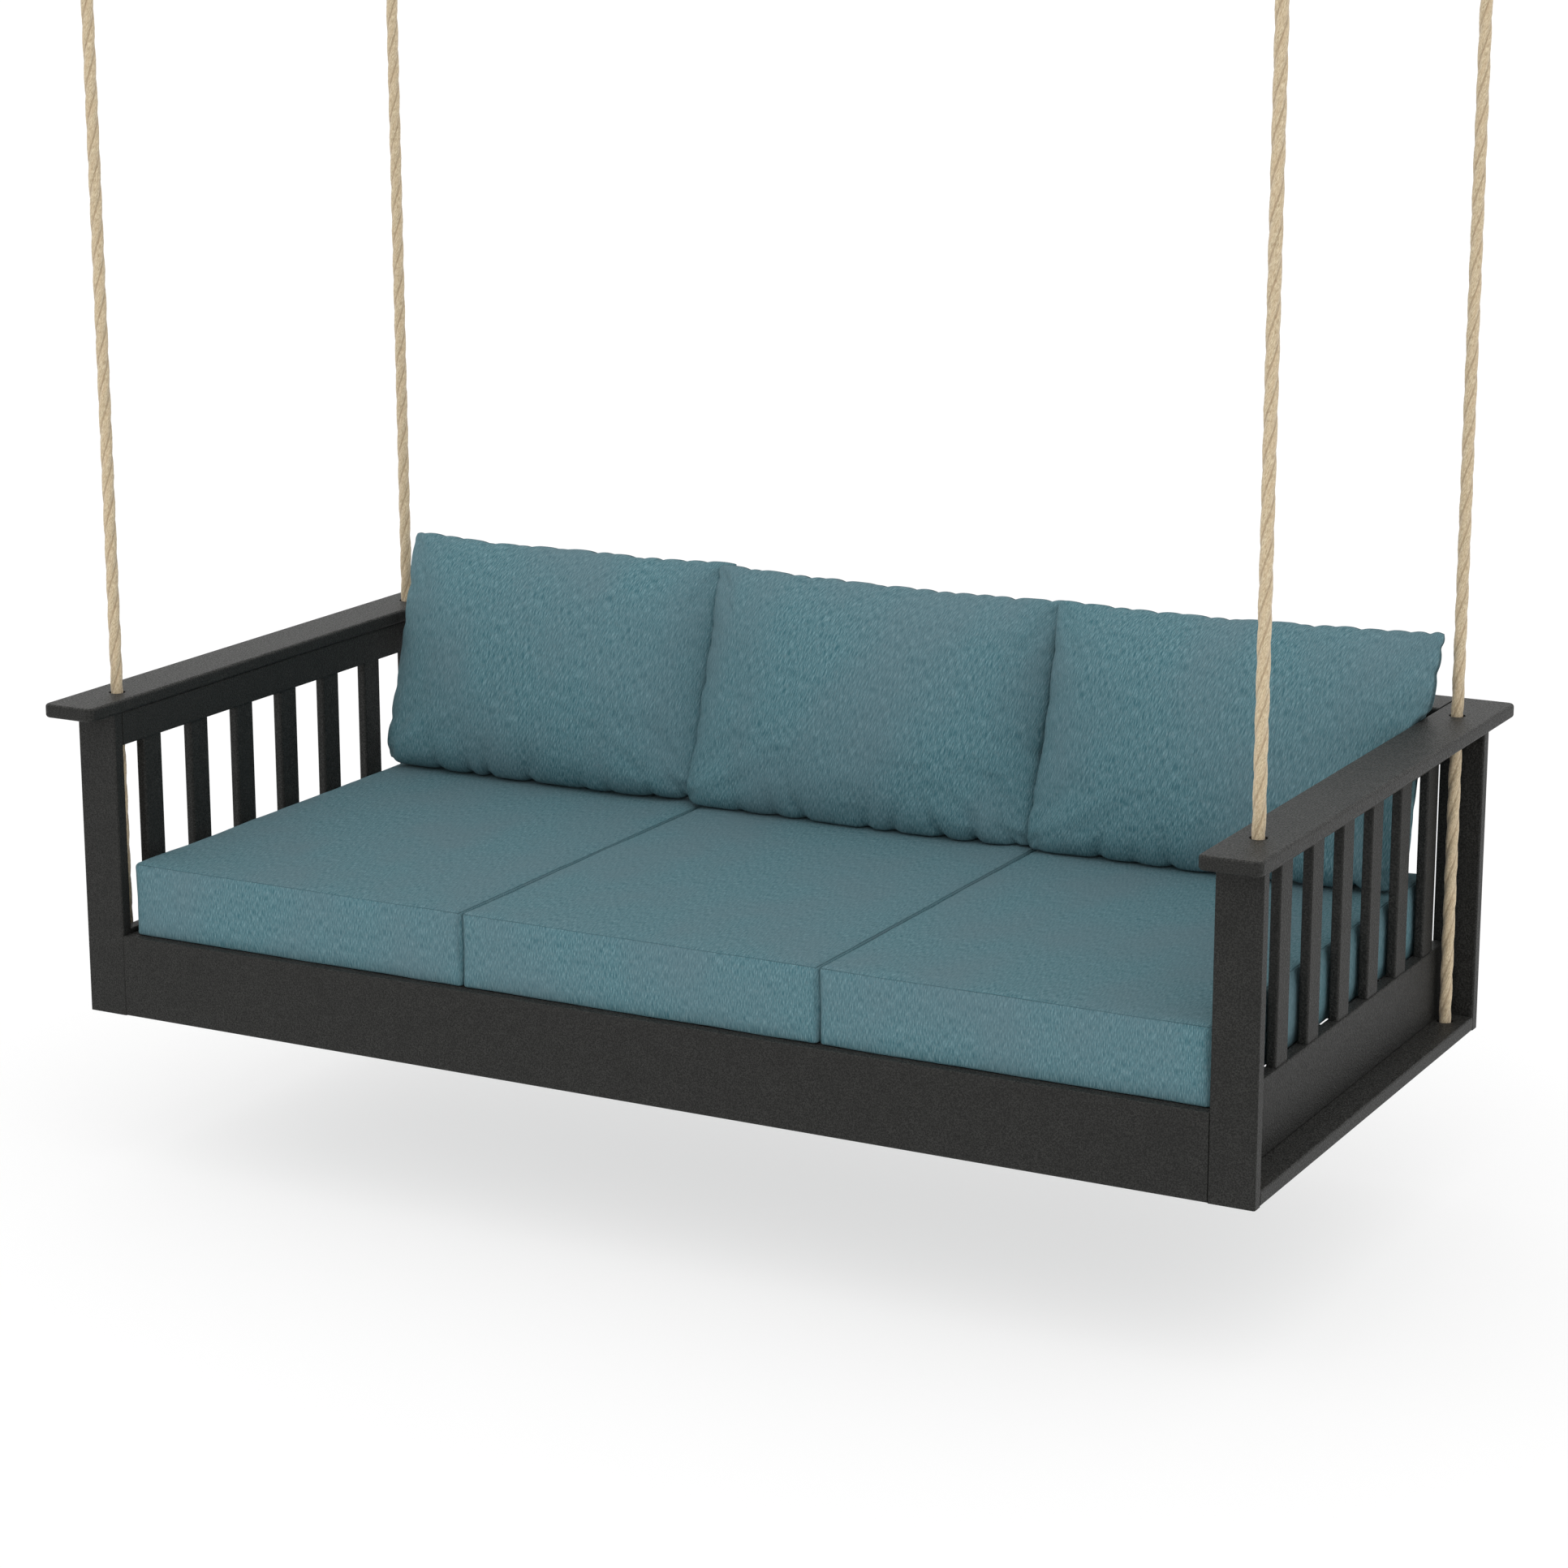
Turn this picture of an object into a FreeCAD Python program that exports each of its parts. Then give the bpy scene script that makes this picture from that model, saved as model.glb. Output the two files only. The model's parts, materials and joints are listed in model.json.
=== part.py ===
import FreeCAD, Part
import os
import re
import Sketcher

# Daybed porch swing seat on four plumb ropes, built from boards of dark plastic lumber.
# X runs along the seat, Y from front to back, Z up. The origin lies on the ceiling, in the middle
# of the rectangle of the four eye bolts.

Vector = FreeCAD.Vector

# Driving dimensions in millimetres and degrees: name, value, meaning
SIZES = [
    ("frame_width", 2000, "over the outer edges of the posts"),
    ("frame_depth", 951, "over the faces of the front and back posts"),
    ("hang_height", 1900, "feet of the posts to the ceiling"),
    ("post_height", 493, "foot to the underside of the arm"),
    ("post_wide", 71, "posts and bottom boards"),
    ("board_thick", 22, "all wide boards"),
    ("board_round", 3, "long edges of the boards"),
    ("arm_wide", 94, "arms and back cap"),
    ("arm_side_over", 19.5, "arm past the outer edge of the posts"),
    ("arm_front_over", 62, "arm past the face of the front posts"),
    ("arm_back_over", 68, "arm past the face of the back posts"),
    ("arm_corner_round", 12, "upright corners of the arms"),
    ("arm_edge_round", 5, "long edges of arms and cap"),
    ("apron_high", 132, "front and back aprons"),
    ("lower_rail_high", 118, "side rail that stands on the bottom board"),
    ("upper_rail_high", 53, "rails under the arms and the back cap"),
    ("slat_wide", 47.5, "side and back slats"),
    ("slat_thick", 16, "side and back slats"),
    ("slat_round", 4, "long edges of the slats"),
    ("side_slat_end", 55.35, "last side slats to the posts' inner faces"),
    ("back_slat_end", 54.9, "last back slats to the posts"),
    ("tenon_long", 10, "part of a slat let into each rail"),
    ("mortise_clear", 0.2, "round a slat in its mortise"),
    ("rope_side_inset", 33, "rope to the outer edge of the posts"),
    ("rope_end_inset", 60, "rope to the outer face of the posts"),
    ("rope_radius", 9.75, "three-strand rope"),
    ("rope_hole_radius", 13, "in arms and bottom boards"),
    ("rope_gap", 0.3, "between the swinging rope and its lower length"),
    ("deck_board_wide", 132, "wide boards under the seat cushions"),
    ("deck_front_wide", 71, "narrow board behind the front apron"),
    ("deck_front_gap", 2, "front apron to the narrow board"),
    ("deck_first", 76, "front apron to the first wide board"),
    ("deck_last_gap", 24, "last wide board to the back apron"),
    ("deck_end_gap", 1, "deck board to side rail"),
    ("joist_low", 30, "underside of the joists above the posts' feet"),
    ("ledger_high", 30, "ledgers along the aprons"),
    ("side_ledger_high", 45, "ledgers along the side rails"),
    ("side_ledger_inset", 62, "side ledger to the aprons, room for the brackets"),
    ("bracket_leg", 55, "corner bracket"),
    ("bracket_high", 44, "corner bracket"),
    ("bracket_thick", 3, "corner bracket"),
    ("bracket_low", 63, "corner bracket above the posts' feet"),
    ("bracket_screw_inset", 38, "screws of a bracket to its corner"),
    ("bracket_screw_rise", 22, "upper screw over the lower one"),
    ("screw_head_radius", 4.5, "all screws"),
    ("screw_head_high", 3, "all screws"),
    ("screw_radius", 2.5, "all screws"),
    ("screw_clear", 0.1, "round a screw in its hole"),
    ("deck_screw_long", 42, "under the head"),
    ("ledger_screw_long", 36, "under the head"),
    ("bracket_screw_long", 18, "under the head"),
    ("rail_screw_long", 67, "bottom board to lower rail, and upper rail to arm, under the head"),
    ("ledger_screw_pitch", 400, "screws of the ledgers"),
    ("stud_radius", 6, "eye bolt"),
    ("stud_long", 90, "eye bolt above the ceiling"),
    ("stud_tip", 6, "tapered end of the stud"),
    ("collar_radius", 11, "eye bolt"),
    ("collar_high", 5, "eye bolt"),
    ("eye_ring_radius", 17, "middle of the eye's wire"),
    ("eye_wire_radius", 6, "eye"),
    ("eye_sunk", 3, "eye let into its collar"),
    ("seat_gap", 0.3, "pin on its eye"),
    ("shackle_radius", 5, "bent bar of the shackle"),
    ("shackle_half_wide", 19, "middle of the shackle to the middle of its bar"),
    ("shackle_long", 64, "middle of the pin to the middle of the lower bend"),
    ("ear_radius", 10, "shackle's ears round its pin"),
    ("ear_thick", 9, "shackle's ears"),
    ("pin_radius", 5, "shackle pin"),
    ("pin_over", 2, "pin past the ear that it screws into"),
    ("pin_head_radius", 8, "shackle pin"),
    ("pin_head_thick", 5, "shackle pin"),
    ("thimble_hole_radius", 14, "thimble"),
    ("thimble_wide", 22.5, "thimble"),
    ("thimble_rim_radius", 26, "thimble"),
    ("thimble_drop", 3, "middle of the thimble under the shackle's lower bend"),
    ("loop_radius", 28, "middle of the rope round its thimble"),
    ("loop_clear", 0.25, "rope in the thimble's groove"),
    ("splice_radius", 14, "thick end of the splice"),
    ("splice_long", 130, "taper of the splice"),
    ("stop_flange_radius", 20, "crimped stop on the rope's end"),
    ("stop_flange_thick", 3, "crimped stop"),
    ("stop_sleeve_radius", 14, "crimped stop"),
    ("stop_high", 14, "crimped stop, flush with the underside of the bottom board"),
    ("stop_clear", 0.5, "round the stop, and the rope's end above the underside"),
    ("seat_cushion_side_gap", 12, "outer seat cushions to the side rails"),
    ("seat_cushion_back_gap", 11, "seat cushions to the back apron"),
    ("seat_cushion_thick", 120, "each seat cushion"),
    ("seat_cushion_round", 14, "edges of the seat cushions"),
    ("seat_cushion_back", 15, "front apron's face to the cushions' front"),
    ("cushion_gap", 0.5, "between cushions, and over the deck"),
    ("back_cushion_side_gap", 1, "outer back cushions to the arms"),
    ("back_cushion_high", 400, "each back cushion"),
    ("back_cushion_thick", 145, "each back cushion"),
    ("back_cushion_edge", 110, "from the seam to the full thickness"),
    ("back_cushion_corner", 22, "corners of the seam"),
    ("back_cushion_lift", 1.4, "lower seam over the seat cushions"),
    ("back_cushion_lean", 13, "degrees from upright"),
    ("back_cushion_forward", 118.5, "middle of a back cushion to the back posts' outer face"),
]

SIDES = {"left": -1, "right": 1}
ENDS = {"front": -1, "back": 1}
SIDE_SLATS = 7
BACK_SLATS = 7
WIDE_DECK_BOARDS = 4
DECK_SUPPORTS = 5
RAIL_SCREWS = 3
LONG_LEDGER_SCREWS = 4
SIDE_LEDGER_SCREWS = 3

document = FreeCAD.newDocument("porch_swing_seat")
sheet = document.addObject("Spreadsheet::Sheet", "Sizes")
for row, (alias, value, meaning) in enumerate(SIZES, start=1):
    sheet.set("A%d" % row, alias)
    sheet.set("B%d" % row, str(value))
    sheet.set("C%d" % row, meaning)
    sheet.setAlias("B%d" % row, alias)
document.recompute()

ALIASES = {alias for alias, value, meaning in SIZES}
nodes = {}

# Places that several pieces share, as expressions of the driving dimensions
FOOT = "(-hang_height)"
POST_INSIDE = "(frame_width/2 - post_wide)"
RAIL_OUTSIDE = "(frame_width/2 - post_wide + board_thick)"
DEPTH_INSIDE = "(frame_depth - 2*board_thick)"
FRONT_INSIDE = "(board_thick - frame_depth/2)"
ARM_TOP = "(post_height + board_thick - hang_height)"
RAIL_TOP = "(board_thick + lower_rail_high)"
SLAT_CLEAR = "(post_height - upper_rail_high - board_thick - lower_rail_high)"
BACK_SLAT_CLEAR = "(post_height - upper_rail_high - apron_high)"
BACK_BAY = "(frame_width/2 - 1.5*post_wide)"
DECK_UNDER = "(apron_high - board_thick)"
SUPPORT_PITCH = "((frame_width/2 - post_wide - board_thick/2)/2)"
SIDE_SLAT_PITCH = "((%s - slat_wide - 2*side_slat_end)/%d)" % (DEPTH_INSIDE, SIDE_SLATS - 1)
BACK_SLAT_PITCH = "((%s - slat_wide - 2*back_slat_end)/%d)" % (BACK_BAY, BACK_SLATS - 1)
RAIL_SCREW_PITCH = "(3*%s)" % SIDE_SLAT_PITCH
DECK_PITCH = "((%s - deck_last_gap - deck_first - deck_board_wide)/%d)" % (DEPTH_INSIDE, WIDE_DECK_BOARDS - 1)
SEAT_CUSHION_WIDE = "((2*%s - 2*seat_cushion_side_gap - 2*cushion_gap)/3)" % POST_INSIDE
SEAT_CUSHION_DEEP = "(frame_depth - board_thick - seat_cushion_back - seat_cushion_back_gap)"
BACK_CUSHION_WIDE = "((frame_width + 2*(arm_side_over - arm_wide - back_cushion_side_gap - cushion_gap))/3)"
ROPE_X = "(frame_width/2 - rope_side_inset)"
ROPE_Y = "(frame_depth/2 - rope_end_inset)"
EYE_MIDDLE = "(eye_sunk - collar_high - eye_ring_radius - eye_wire_radius)"
EYE_HOLE = "(eye_ring_radius - eye_wire_radius)"
SWING_PIVOT = "(%s - %s + pin_radius + seat_gap)" % (EYE_MIDDLE, EYE_HOLE)
THIMBLE_MIDDLE = "(%s - shackle_long - thimble_drop)" % SWING_PIVOT
SPLICE_TOP = "(%s - loop_radius)" % THIMBLE_MIDDLE


def bound(expression):
    """The expression with each size read from the sheet."""
    return re.sub(r"[a-z][a-z_]*[a-z]", lambda word: "Sizes." + word.group(0)
                  if word.group(0) in ALIASES else word.group(0), str(expression))


def worth(expression):
    """The present value of an expression, as a starting value for a sketch."""
    values = {alias: sheet.get(alias) for alias in ALIASES}
    text = re.sub(r"[a-z][a-z_]*[a-z]", lambda word: repr(float(values[word.group(0)])), str(expression))
    return float(FreeCAD.Units.Quantity(text).Value)


def bind(item, **properties):
    """Tie properties to sizes; two underscores stand for a dot."""
    for name, expression in properties.items():
        item.setExpression(name.replace("__", "."), bound(expression))


def put(item, x, y, z, axis=None, angle=0):
    """Turn the item, then tie its place to the sizes."""
    turn = FreeCAD.Rotation(Vector(*axis), angle) if axis else FreeCAD.Rotation()
    item.Placement = FreeCAD.Placement(Vector(), turn)
    bind(item, Placement__Base__x=x, Placement__Base__y=y, Placement__Base__z=z)


def keep(node, item):
    item.Label = node
    nodes[node] = item
    return item


def origin_part(body, role):
    return [part for part in body.Origin.OriginFeatures if part.Role == role][0]


def new_sketch(body, plane="XY_Plane", lift="0"):
    """A sketch on one of the body's origin planes, lifted along that plane's normal."""
    sketch = body.newObject("Sketcher::SketchObject", body.Name + "_sketch")
    sketch.AttachmentSupport = [(origin_part(body, plane), "")]
    sketch.MapMode = "FlatFace"
    bind(sketch, AttachmentOffset__Base__z=lift)
    return sketch


def measure(sketch, kind, first, second, expression):
    """One driven distance between two sketch points."""
    index = sketch.addConstraint(Sketcher.Constraint(kind, *first, *second, worth(expression)))
    sketch.setExpression("Constraints[%d]" % index, bound(expression))


def add_rectangle(sketch, low, size):
    """A rectangle from its low corner; a corner at the origin is tied to it."""
    left, lower = worth(low[0]), worth(low[1])
    right, upper = left + worth(size[0]), lower + worth(size[1])
    corners = [Vector(left, lower), Vector(right, lower), Vector(right, upper), Vector(left, upper)]
    first = sketch.GeometryCount
    sides = [Part.LineSegment(corners[i], corners[(i + 1) % 4]) for i in range(4)]
    sketch.addGeometry(sides, False)
    for i in range(4):
        sketch.addConstraint(Sketcher.Constraint("Coincident", first + i, 2, first + (i + 1) % 4, 1))
    for i, kind in enumerate(("Horizontal", "Vertical", "Horizontal", "Vertical")):
        sketch.addConstraint(Sketcher.Constraint(kind, first + i))
    if low == ("0", "0"):
        sketch.addConstraint(Sketcher.Constraint("Coincident", first, 1, -1, 1))
    else:
        measure(sketch, "DistanceX", (-1, 1), (first, 1), low[0])
        measure(sketch, "DistanceY", (-1, 1), (first, 1), low[1])
    measure(sketch, "DistanceX", (first, 1), (first, 2), size[0])
    measure(sketch, "DistanceY", (first + 1, 1), (first + 1, 2), size[1])


def add_circle(sketch, x, y, radius):
    middle = Vector(worth(x), worth(y))
    index = sketch.addGeometry(Part.Circle(middle, Vector(0, 0, 1), worth(radius)), False)
    for kind, place in (("DistanceX", x), ("DistanceY", y)):
        measure(sketch, kind, (-1, 1), (index, 3), place)
    place = sketch.addConstraint(Sketcher.Constraint("Radius", index, worth(radius)))
    sketch.setExpression("Constraints[%d]" % place, bound(radius))


def add_rounded_outline(sketch, wide, high, corner):
    """A rectangle with round corners, centred on the origin."""
    x, y, r = worth(wide) / 2, worth(high) / 2, worth(corner)
    lines = [((r - x, -y), (x - r, -y)), ((x, r - y), (x, y - r)), ((x - r, y), (r - x, y)), ((-x, y - r), (-x, r - y))]
    sketch.addGeometry([Part.LineSegment(Vector(*a), Vector(*b)) for a, b in lines], False)
    middles = [(x - r, r - y), (x - r, y - r), (r - x, y - r), (r - x, r - y)]
    for i, middle in enumerate(middles):
        circle = Part.Circle(Vector(*middle), Vector(0, 0, 1), r)
        start = 1.5707963267948966 * (i - 1)
        sketch.addGeometry(Part.ArcOfCircle(circle, start, start + 1.5707963267948966), False)
    for i in range(4):
        sketch.addConstraint(Sketcher.Constraint("Tangent", i, 2, 4 + i, 1))
        sketch.addConstraint(Sketcher.Constraint("Tangent", 4 + i, 2, (i + 1) % 4, 1))
    for i in range(1, 4):
        sketch.addConstraint(Sketcher.Constraint("Equal", 4, 4 + i))
    for i, kind in enumerate(("Horizontal", "Vertical", "Horizontal")):
        sketch.addConstraint(Sketcher.Constraint(kind, i))
    index = sketch.addConstraint(Sketcher.Constraint("Radius", 4, r))
    sketch.setExpression("Constraints[%d]" % index, bound(corner))
    measure(sketch, "DistanceY", (0, 1), (-1, 1), "%s/2" % high)
    measure(sketch, "DistanceY", (-1, 1), (2, 1), "%s/2" % high)
    measure(sketch, "DistanceX", (-1, 1), (1, 1), "%s/2" % wide)
    measure(sketch, "DistanceX", (3, 1), (-1, 1), "%s/2" % wide)


def pad(body, sketch, length):
    feature = body.newObject("PartDesign::Pad", body.Name + "_pad")
    feature.Profile = sketch
    bind(feature, Length=length)
    document.recompute()
    return feature


def edges_along(shape, axis):
    """Names of the straight edges that run along X, Y or Z."""
    direction = {"X": Vector(1, 0, 0), "Y": Vector(0, 1, 0), "Z": Vector(0, 0, 1)}[axis]
    names = []
    for number, edge in enumerate(shape.Edges, start=1):
        tangent = edge.tangentAt(edge.FirstParameter)
        if isinstance(edge.Curve, Part.Line) and abs(tangent.dot(direction)) > 0.999:
            names.append("Edge%d" % number)
    return names


def level_edges(shape):
    """Names of the edges that lie in a level plane."""
    return ["Edge%d" % number for number, edge in enumerate(shape.Edges, start=1) if edge.BoundBox.ZLength < 1e-6]


def fillet(body, names, radius):
    base = body.Tip
    feature = body.newObject("PartDesign::Fillet", body.Name + "_fillet")
    feature.Base = (base, names)
    bind(feature, Radius=radius)
    document.recompute()
    return feature


def plain_board(low, size, grain, rounding="board_round"):
    """A board from its low corner, with its long edges rounded."""
    body = document.addObject("PartDesign::Body", "board")
    sketch = new_sketch(body)
    add_rectangle(sketch, ("0", "0"), size[:2])
    pad(body, sketch, size[2])
    if grain:
        fillet(body, edges_along(body.Tip.Shape, grain), rounding)
    put(body, *low)
    return body


def board(node, low, size, grain, rounding="board_round"):
    return keep(node, plain_board(low, size, grain, rounding))


def pocket(body, sketch, depth, forward=False):
    """Cut the sketch into the body, against its plane's normal or, if forward, along it."""
    before = body.Tip.Shape.Volume
    feature = body.newObject("PartDesign::Pocket", body.Name + "_pocket")
    feature.Profile = sketch
    feature.Reversed = forward
    bind(feature, Length=depth)
    document.recompute()
    if not feature.Shape.Volume < before - 1:
        raise ValueError("the cut in %s takes nothing away" % body.Label)
    return feature


def drill(body, places, radius, depth, plane="XY_Plane", lift="0", forward=False):
    """Round holes of one size, at places in the sketch's own two directions."""
    sketch = new_sketch(body, plane, lift)
    for x, y in places:
        add_circle(sketch, x, y, radius)
    return pocket(body, sketch, depth, forward)


def repeat(body, axis, pitch, count, cut=None):
    """Repeat one cut, or the whole piece, along an axis of the body."""
    pattern = body.newObject("PartDesign::LinearPattern", body.Name + "_row")
    if cut:
        pattern.Originals = [cut]
    else:
        pattern.TransformMode = "Whole shape"
    pattern.Direction = (origin_part(body, axis), [""])
    pattern.Mode = "Spacing"
    bind(pattern, Offset=pitch)
    pattern.Occurrences = count
    body.Tip = pattern
    document.recompute()
    return pattern


def mirrored_low(side, inner, outer):
    """Low X of a piece that lies between two distances from the middle."""
    return inner if side > 0 else "(-(%s))" % outer


def middle_row(pitch, count):
    """Distance from the first to the middle of a row."""
    return "(%s*%d/2)" % (pitch, count - 1)


# Slats, seated in blind mortises
def mortises(rail, along, across_middle, first_middle, pitch, count, lift, forward):
    """Blind mortises for a row of slats, in the top or, if forward, the underside of a rail."""
    sketch = new_sketch(rail, lift=lift)
    thick = "(slat_thick + 2*mortise_clear)"
    wide = "(slat_wide + 2*mortise_clear)"
    across_low = "(%s - %s/2)" % (across_middle, thick)
    along_low = "(%s - %s/2)" % (first_middle, wide)
    if along == "Y_Axis":
        add_rectangle(sketch, (across_low, along_low), (thick, wide))
    else:
        add_rectangle(sketch, (along_low, across_low), (wide, thick))
    cut = pocket(rail, sketch, "tenon_long", forward)
    repeat(rail, along, pitch, count, cut)


def slat_row(node, low, size, along, pitch, count):
    body = board(node, low, size, "Z", "slat_round")
    repeat(body, along, pitch, count)
    return body


# Screws; a screw's own Z axis points out of its head
def screw_row(low, long, turn, axis, pitch, count):
    body = document.addObject("PartDesign::Body", "screws")
    head = new_sketch(body)
    add_circle(head, "0", "0", "screw_head_radius")
    pad(body, head, "screw_head_high")
    shank = new_sketch(body)
    add_circle(shank, "0", "0", "screw_radius")
    pad(body, shank, long).Reversed = True
    document.recompute()
    repeat(body, axis, pitch, count)
    put(body, *low, *turn)
    return body


def group(node, items):
    compound = document.addObject("Part::Compound", node)
    compound.Links = items
    return keep(node, compound)


UPWARDS = ((0, 0, 1), 0)
OUT_OF_LEFT = ((0, 1, 0), 90)
OUT_OF_RIGHT = ((0, 1, 0), -90)
OUT_OF_FRONT = ((1, 0, 0), -90)
OUT_OF_BACK = ((1, 0, 0), 90)
OUT_OF_UNDERSIDE = ((1, 0, 0), 180)
SCREW_HOLE = "(screw_radius + screw_clear)"
HEAD_HOLE = "(screw_head_radius + screw_clear)"


def posts():
    for side_name, side in SIDES.items():
        for end_name, end in ENDS.items():
            low_y = "-frame_depth/2" if end < 0 else "frame_depth/2 - board_thick"
            board("%s_%s_post" % (side_name, end_name),
                  (mirrored_low(side, POST_INSIDE, "frame_width/2"), low_y, FOOT),
                  ("post_wide", "board_thick", "post_height"), "Z")


def side_panel(side_name, side):
    """Bottom board, two rails and a row of slats between the posts of one side."""
    bottom = board(side_name + "_bottom_board",
                   (mirrored_low(side, POST_INSIDE, "frame_width/2"), FRONT_INSIDE, FOOT),
                   ("post_wide", DEPTH_INSIDE, "board_thick"), "Y")
    rope_x = "(post_wide - rope_side_inset)" if side > 0 else "rope_side_inset"
    rope_y = "(rope_end_inset - board_thick)"
    drill(bottom, [(rope_x, rope_y), (rope_x, "(%s - %s)" % (DEPTH_INSIDE, rope_y))],
          "rope_hole_radius", "board_thick", lift="board_thick")
    drill(bottom, [(rope_x, rope_y), (rope_x, "(%s - %s)" % (DEPTH_INSIDE, rope_y))],
          "(stop_flange_radius + stop_clear)", "stop_high", forward=True)
    rail_x = mirrored_low(side, POST_INSIDE, RAIL_OUTSIDE)
    rail_middle = "(board_thick/2)"
    bottom_rail_middle = "(board_thick/2)" if side > 0 else "(post_wide - board_thick/2)"
    lower = board(side_name + "_lower_rail", (rail_x, FRONT_INSIDE, "(board_thick - hang_height)"),
                  ("board_thick", DEPTH_INSIDE, "lower_rail_high"), "Y")
    upper = board(side_name + "_upper_rail",
                  (rail_x, FRONT_INSIDE, "(post_height - upper_rail_high - hang_height)"),
                  ("board_thick", DEPTH_INSIDE, "upper_rail_high"), "Y")
    first_slat = "(%s/2 - %s)" % (DEPTH_INSIDE, middle_row(SIDE_SLAT_PITCH, SIDE_SLATS))
    for rail, lift, forward in ((lower, "lower_rail_high", False), (upper, "0", True)):
        mortises(rail, "Y_Axis", rail_middle, first_slat, SIDE_SLAT_PITCH, SIDE_SLATS, lift, forward)
    slat_x = "(%s + (board_thick - slat_thick)/2)" % rail_x
    slat_y = "(%s + %s - slat_wide/2)" % (FRONT_INSIDE, first_slat)
    slat_row(side_name + "_side_slats", (slat_x, slat_y, "(%s - tenon_long - hang_height)" % RAIL_TOP),
             ("slat_thick", "slat_wide", "(%s + 2*tenon_long)" % SLAT_CLEAR),
             "Y_Axis", SIDE_SLAT_PITCH, SIDE_SLATS)
    return side_screws(side, bottom, lower, upper, rail_middle, bottom_rail_middle)


def side_screws(side, bottom, lower, upper, rail_middle, bottom_rail_middle):
    """Screws up through the bottom board into the lower rail, and through the upper rail into the arm.

    They stand between slats, so the row is half a slat pitch off the middle."""
    half_row = middle_row(RAIL_SCREW_PITCH, RAIL_SCREWS)
    first = "(%s/2 + %s/2 - %s)" % (DEPTH_INSIDE, SIDE_SLAT_PITCH, half_row)
    places = ["(%s + %d*%s)" % (first, i, RAIL_SCREW_PITCH) for i in range(RAIL_SCREWS)]
    for rail, across, depth in ((bottom, bottom_rail_middle, "board_thick"), (upper, rail_middle, "upper_rail_high")):
        drill(rail, [(across, y) for y in places], SCREW_HOLE, depth, forward=True)
        drill(rail, [(across, y) for y in places], HEAD_HOLE, "screw_head_high", forward=True)
    drill(lower, [(rail_middle, y) for y in places], SCREW_HOLE,
          "(rail_screw_long + screw_head_high - board_thick + screw_clear)", forward=True)
    x = "(%d*(%s + board_thick/2))" % (side, POST_INSIDE)
    y = "(%s + %s)" % (FRONT_INSIDE, places[-1])
    heads = ("(screw_head_high - hang_height)", "(post_height - upper_rail_high + screw_head_high - hang_height)")
    return [screw_row((x, y, z), "rail_screw_long", OUT_OF_UNDERSIDE, "Y_Axis", RAIL_SCREW_PITCH, RAIL_SCREWS)
            for z in heads]


def arms():
    """Arms with rope holes, and the cap between them at the back."""
    long = "(frame_depth + arm_front_over + arm_back_over)"
    for side_name, side in SIDES.items():
        body = keep(side_name + "_arm", document.addObject("PartDesign::Body", side_name + "_arm"))
        sketch = new_sketch(body)
        add_rectangle(sketch, ("0", "0"), ("arm_wide", long))
        pad(body, sketch, "board_thick")
        fillet(body, edges_along(body.Tip.Shape, "Z"), "arm_corner_round")
        fillet(body, level_edges(body.Tip.Shape), "arm_edge_round")
        over = "(arm_side_over + rope_side_inset)"
        rope_x = "(arm_wide - %s)" % over if side > 0 else over
        places = [(rope_x, "(arm_front_over + rope_end_inset)"),
                  (rope_x, "(arm_front_over + frame_depth - rope_end_inset)")]
        drill(body, places, "rope_hole_radius", "board_thick", lift="board_thick")
        rail_middle = "(arm_side_over + post_wide - board_thick/2)"
        screw_x = "(arm_wide - %s)" % rail_middle if side > 0 else rail_middle
        middle_y = "(arm_front_over + frame_depth/2 + %s/2)" % SIDE_SLAT_PITCH
        screw_y = ["(%s + %s*%s)" % (middle_y, i - (RAIL_SCREWS - 1) / 2, RAIL_SCREW_PITCH)
                   for i in range(RAIL_SCREWS)]
        drill(body, [(screw_x, y) for y in screw_y], SCREW_HOLE,
              "(rail_screw_long + screw_head_high - upper_rail_high + screw_clear)", forward=True)
        outer = "(frame_width/2 + arm_side_over)"
        put(body, mirrored_low(side, "(%s - arm_wide)" % outer, outer), "(-frame_depth/2 - arm_front_over)",
            "(post_height - hang_height)")
    cap_half = "(frame_width/2 + arm_side_over - arm_wide)"
    board("back_cap", ("(-%s)" % cap_half, "(frame_depth/2 + arm_back_over - arm_wide)", "(post_height - hang_height)"),
          ("(2*%s)" % cap_half, "arm_wide", "board_thick"), "X", "arm_edge_round")


def aprons():
    for end_name, end in ENDS.items():
        low_y = "(-frame_depth/2)" if end < 0 else "(frame_depth/2 - board_thick)"
        board(end_name + "_apron", ("(-%s)" % POST_INSIDE, low_y, FOOT),
              ("(2*%s)" % POST_INSIDE, "board_thick", "apron_high"), "X")


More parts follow.
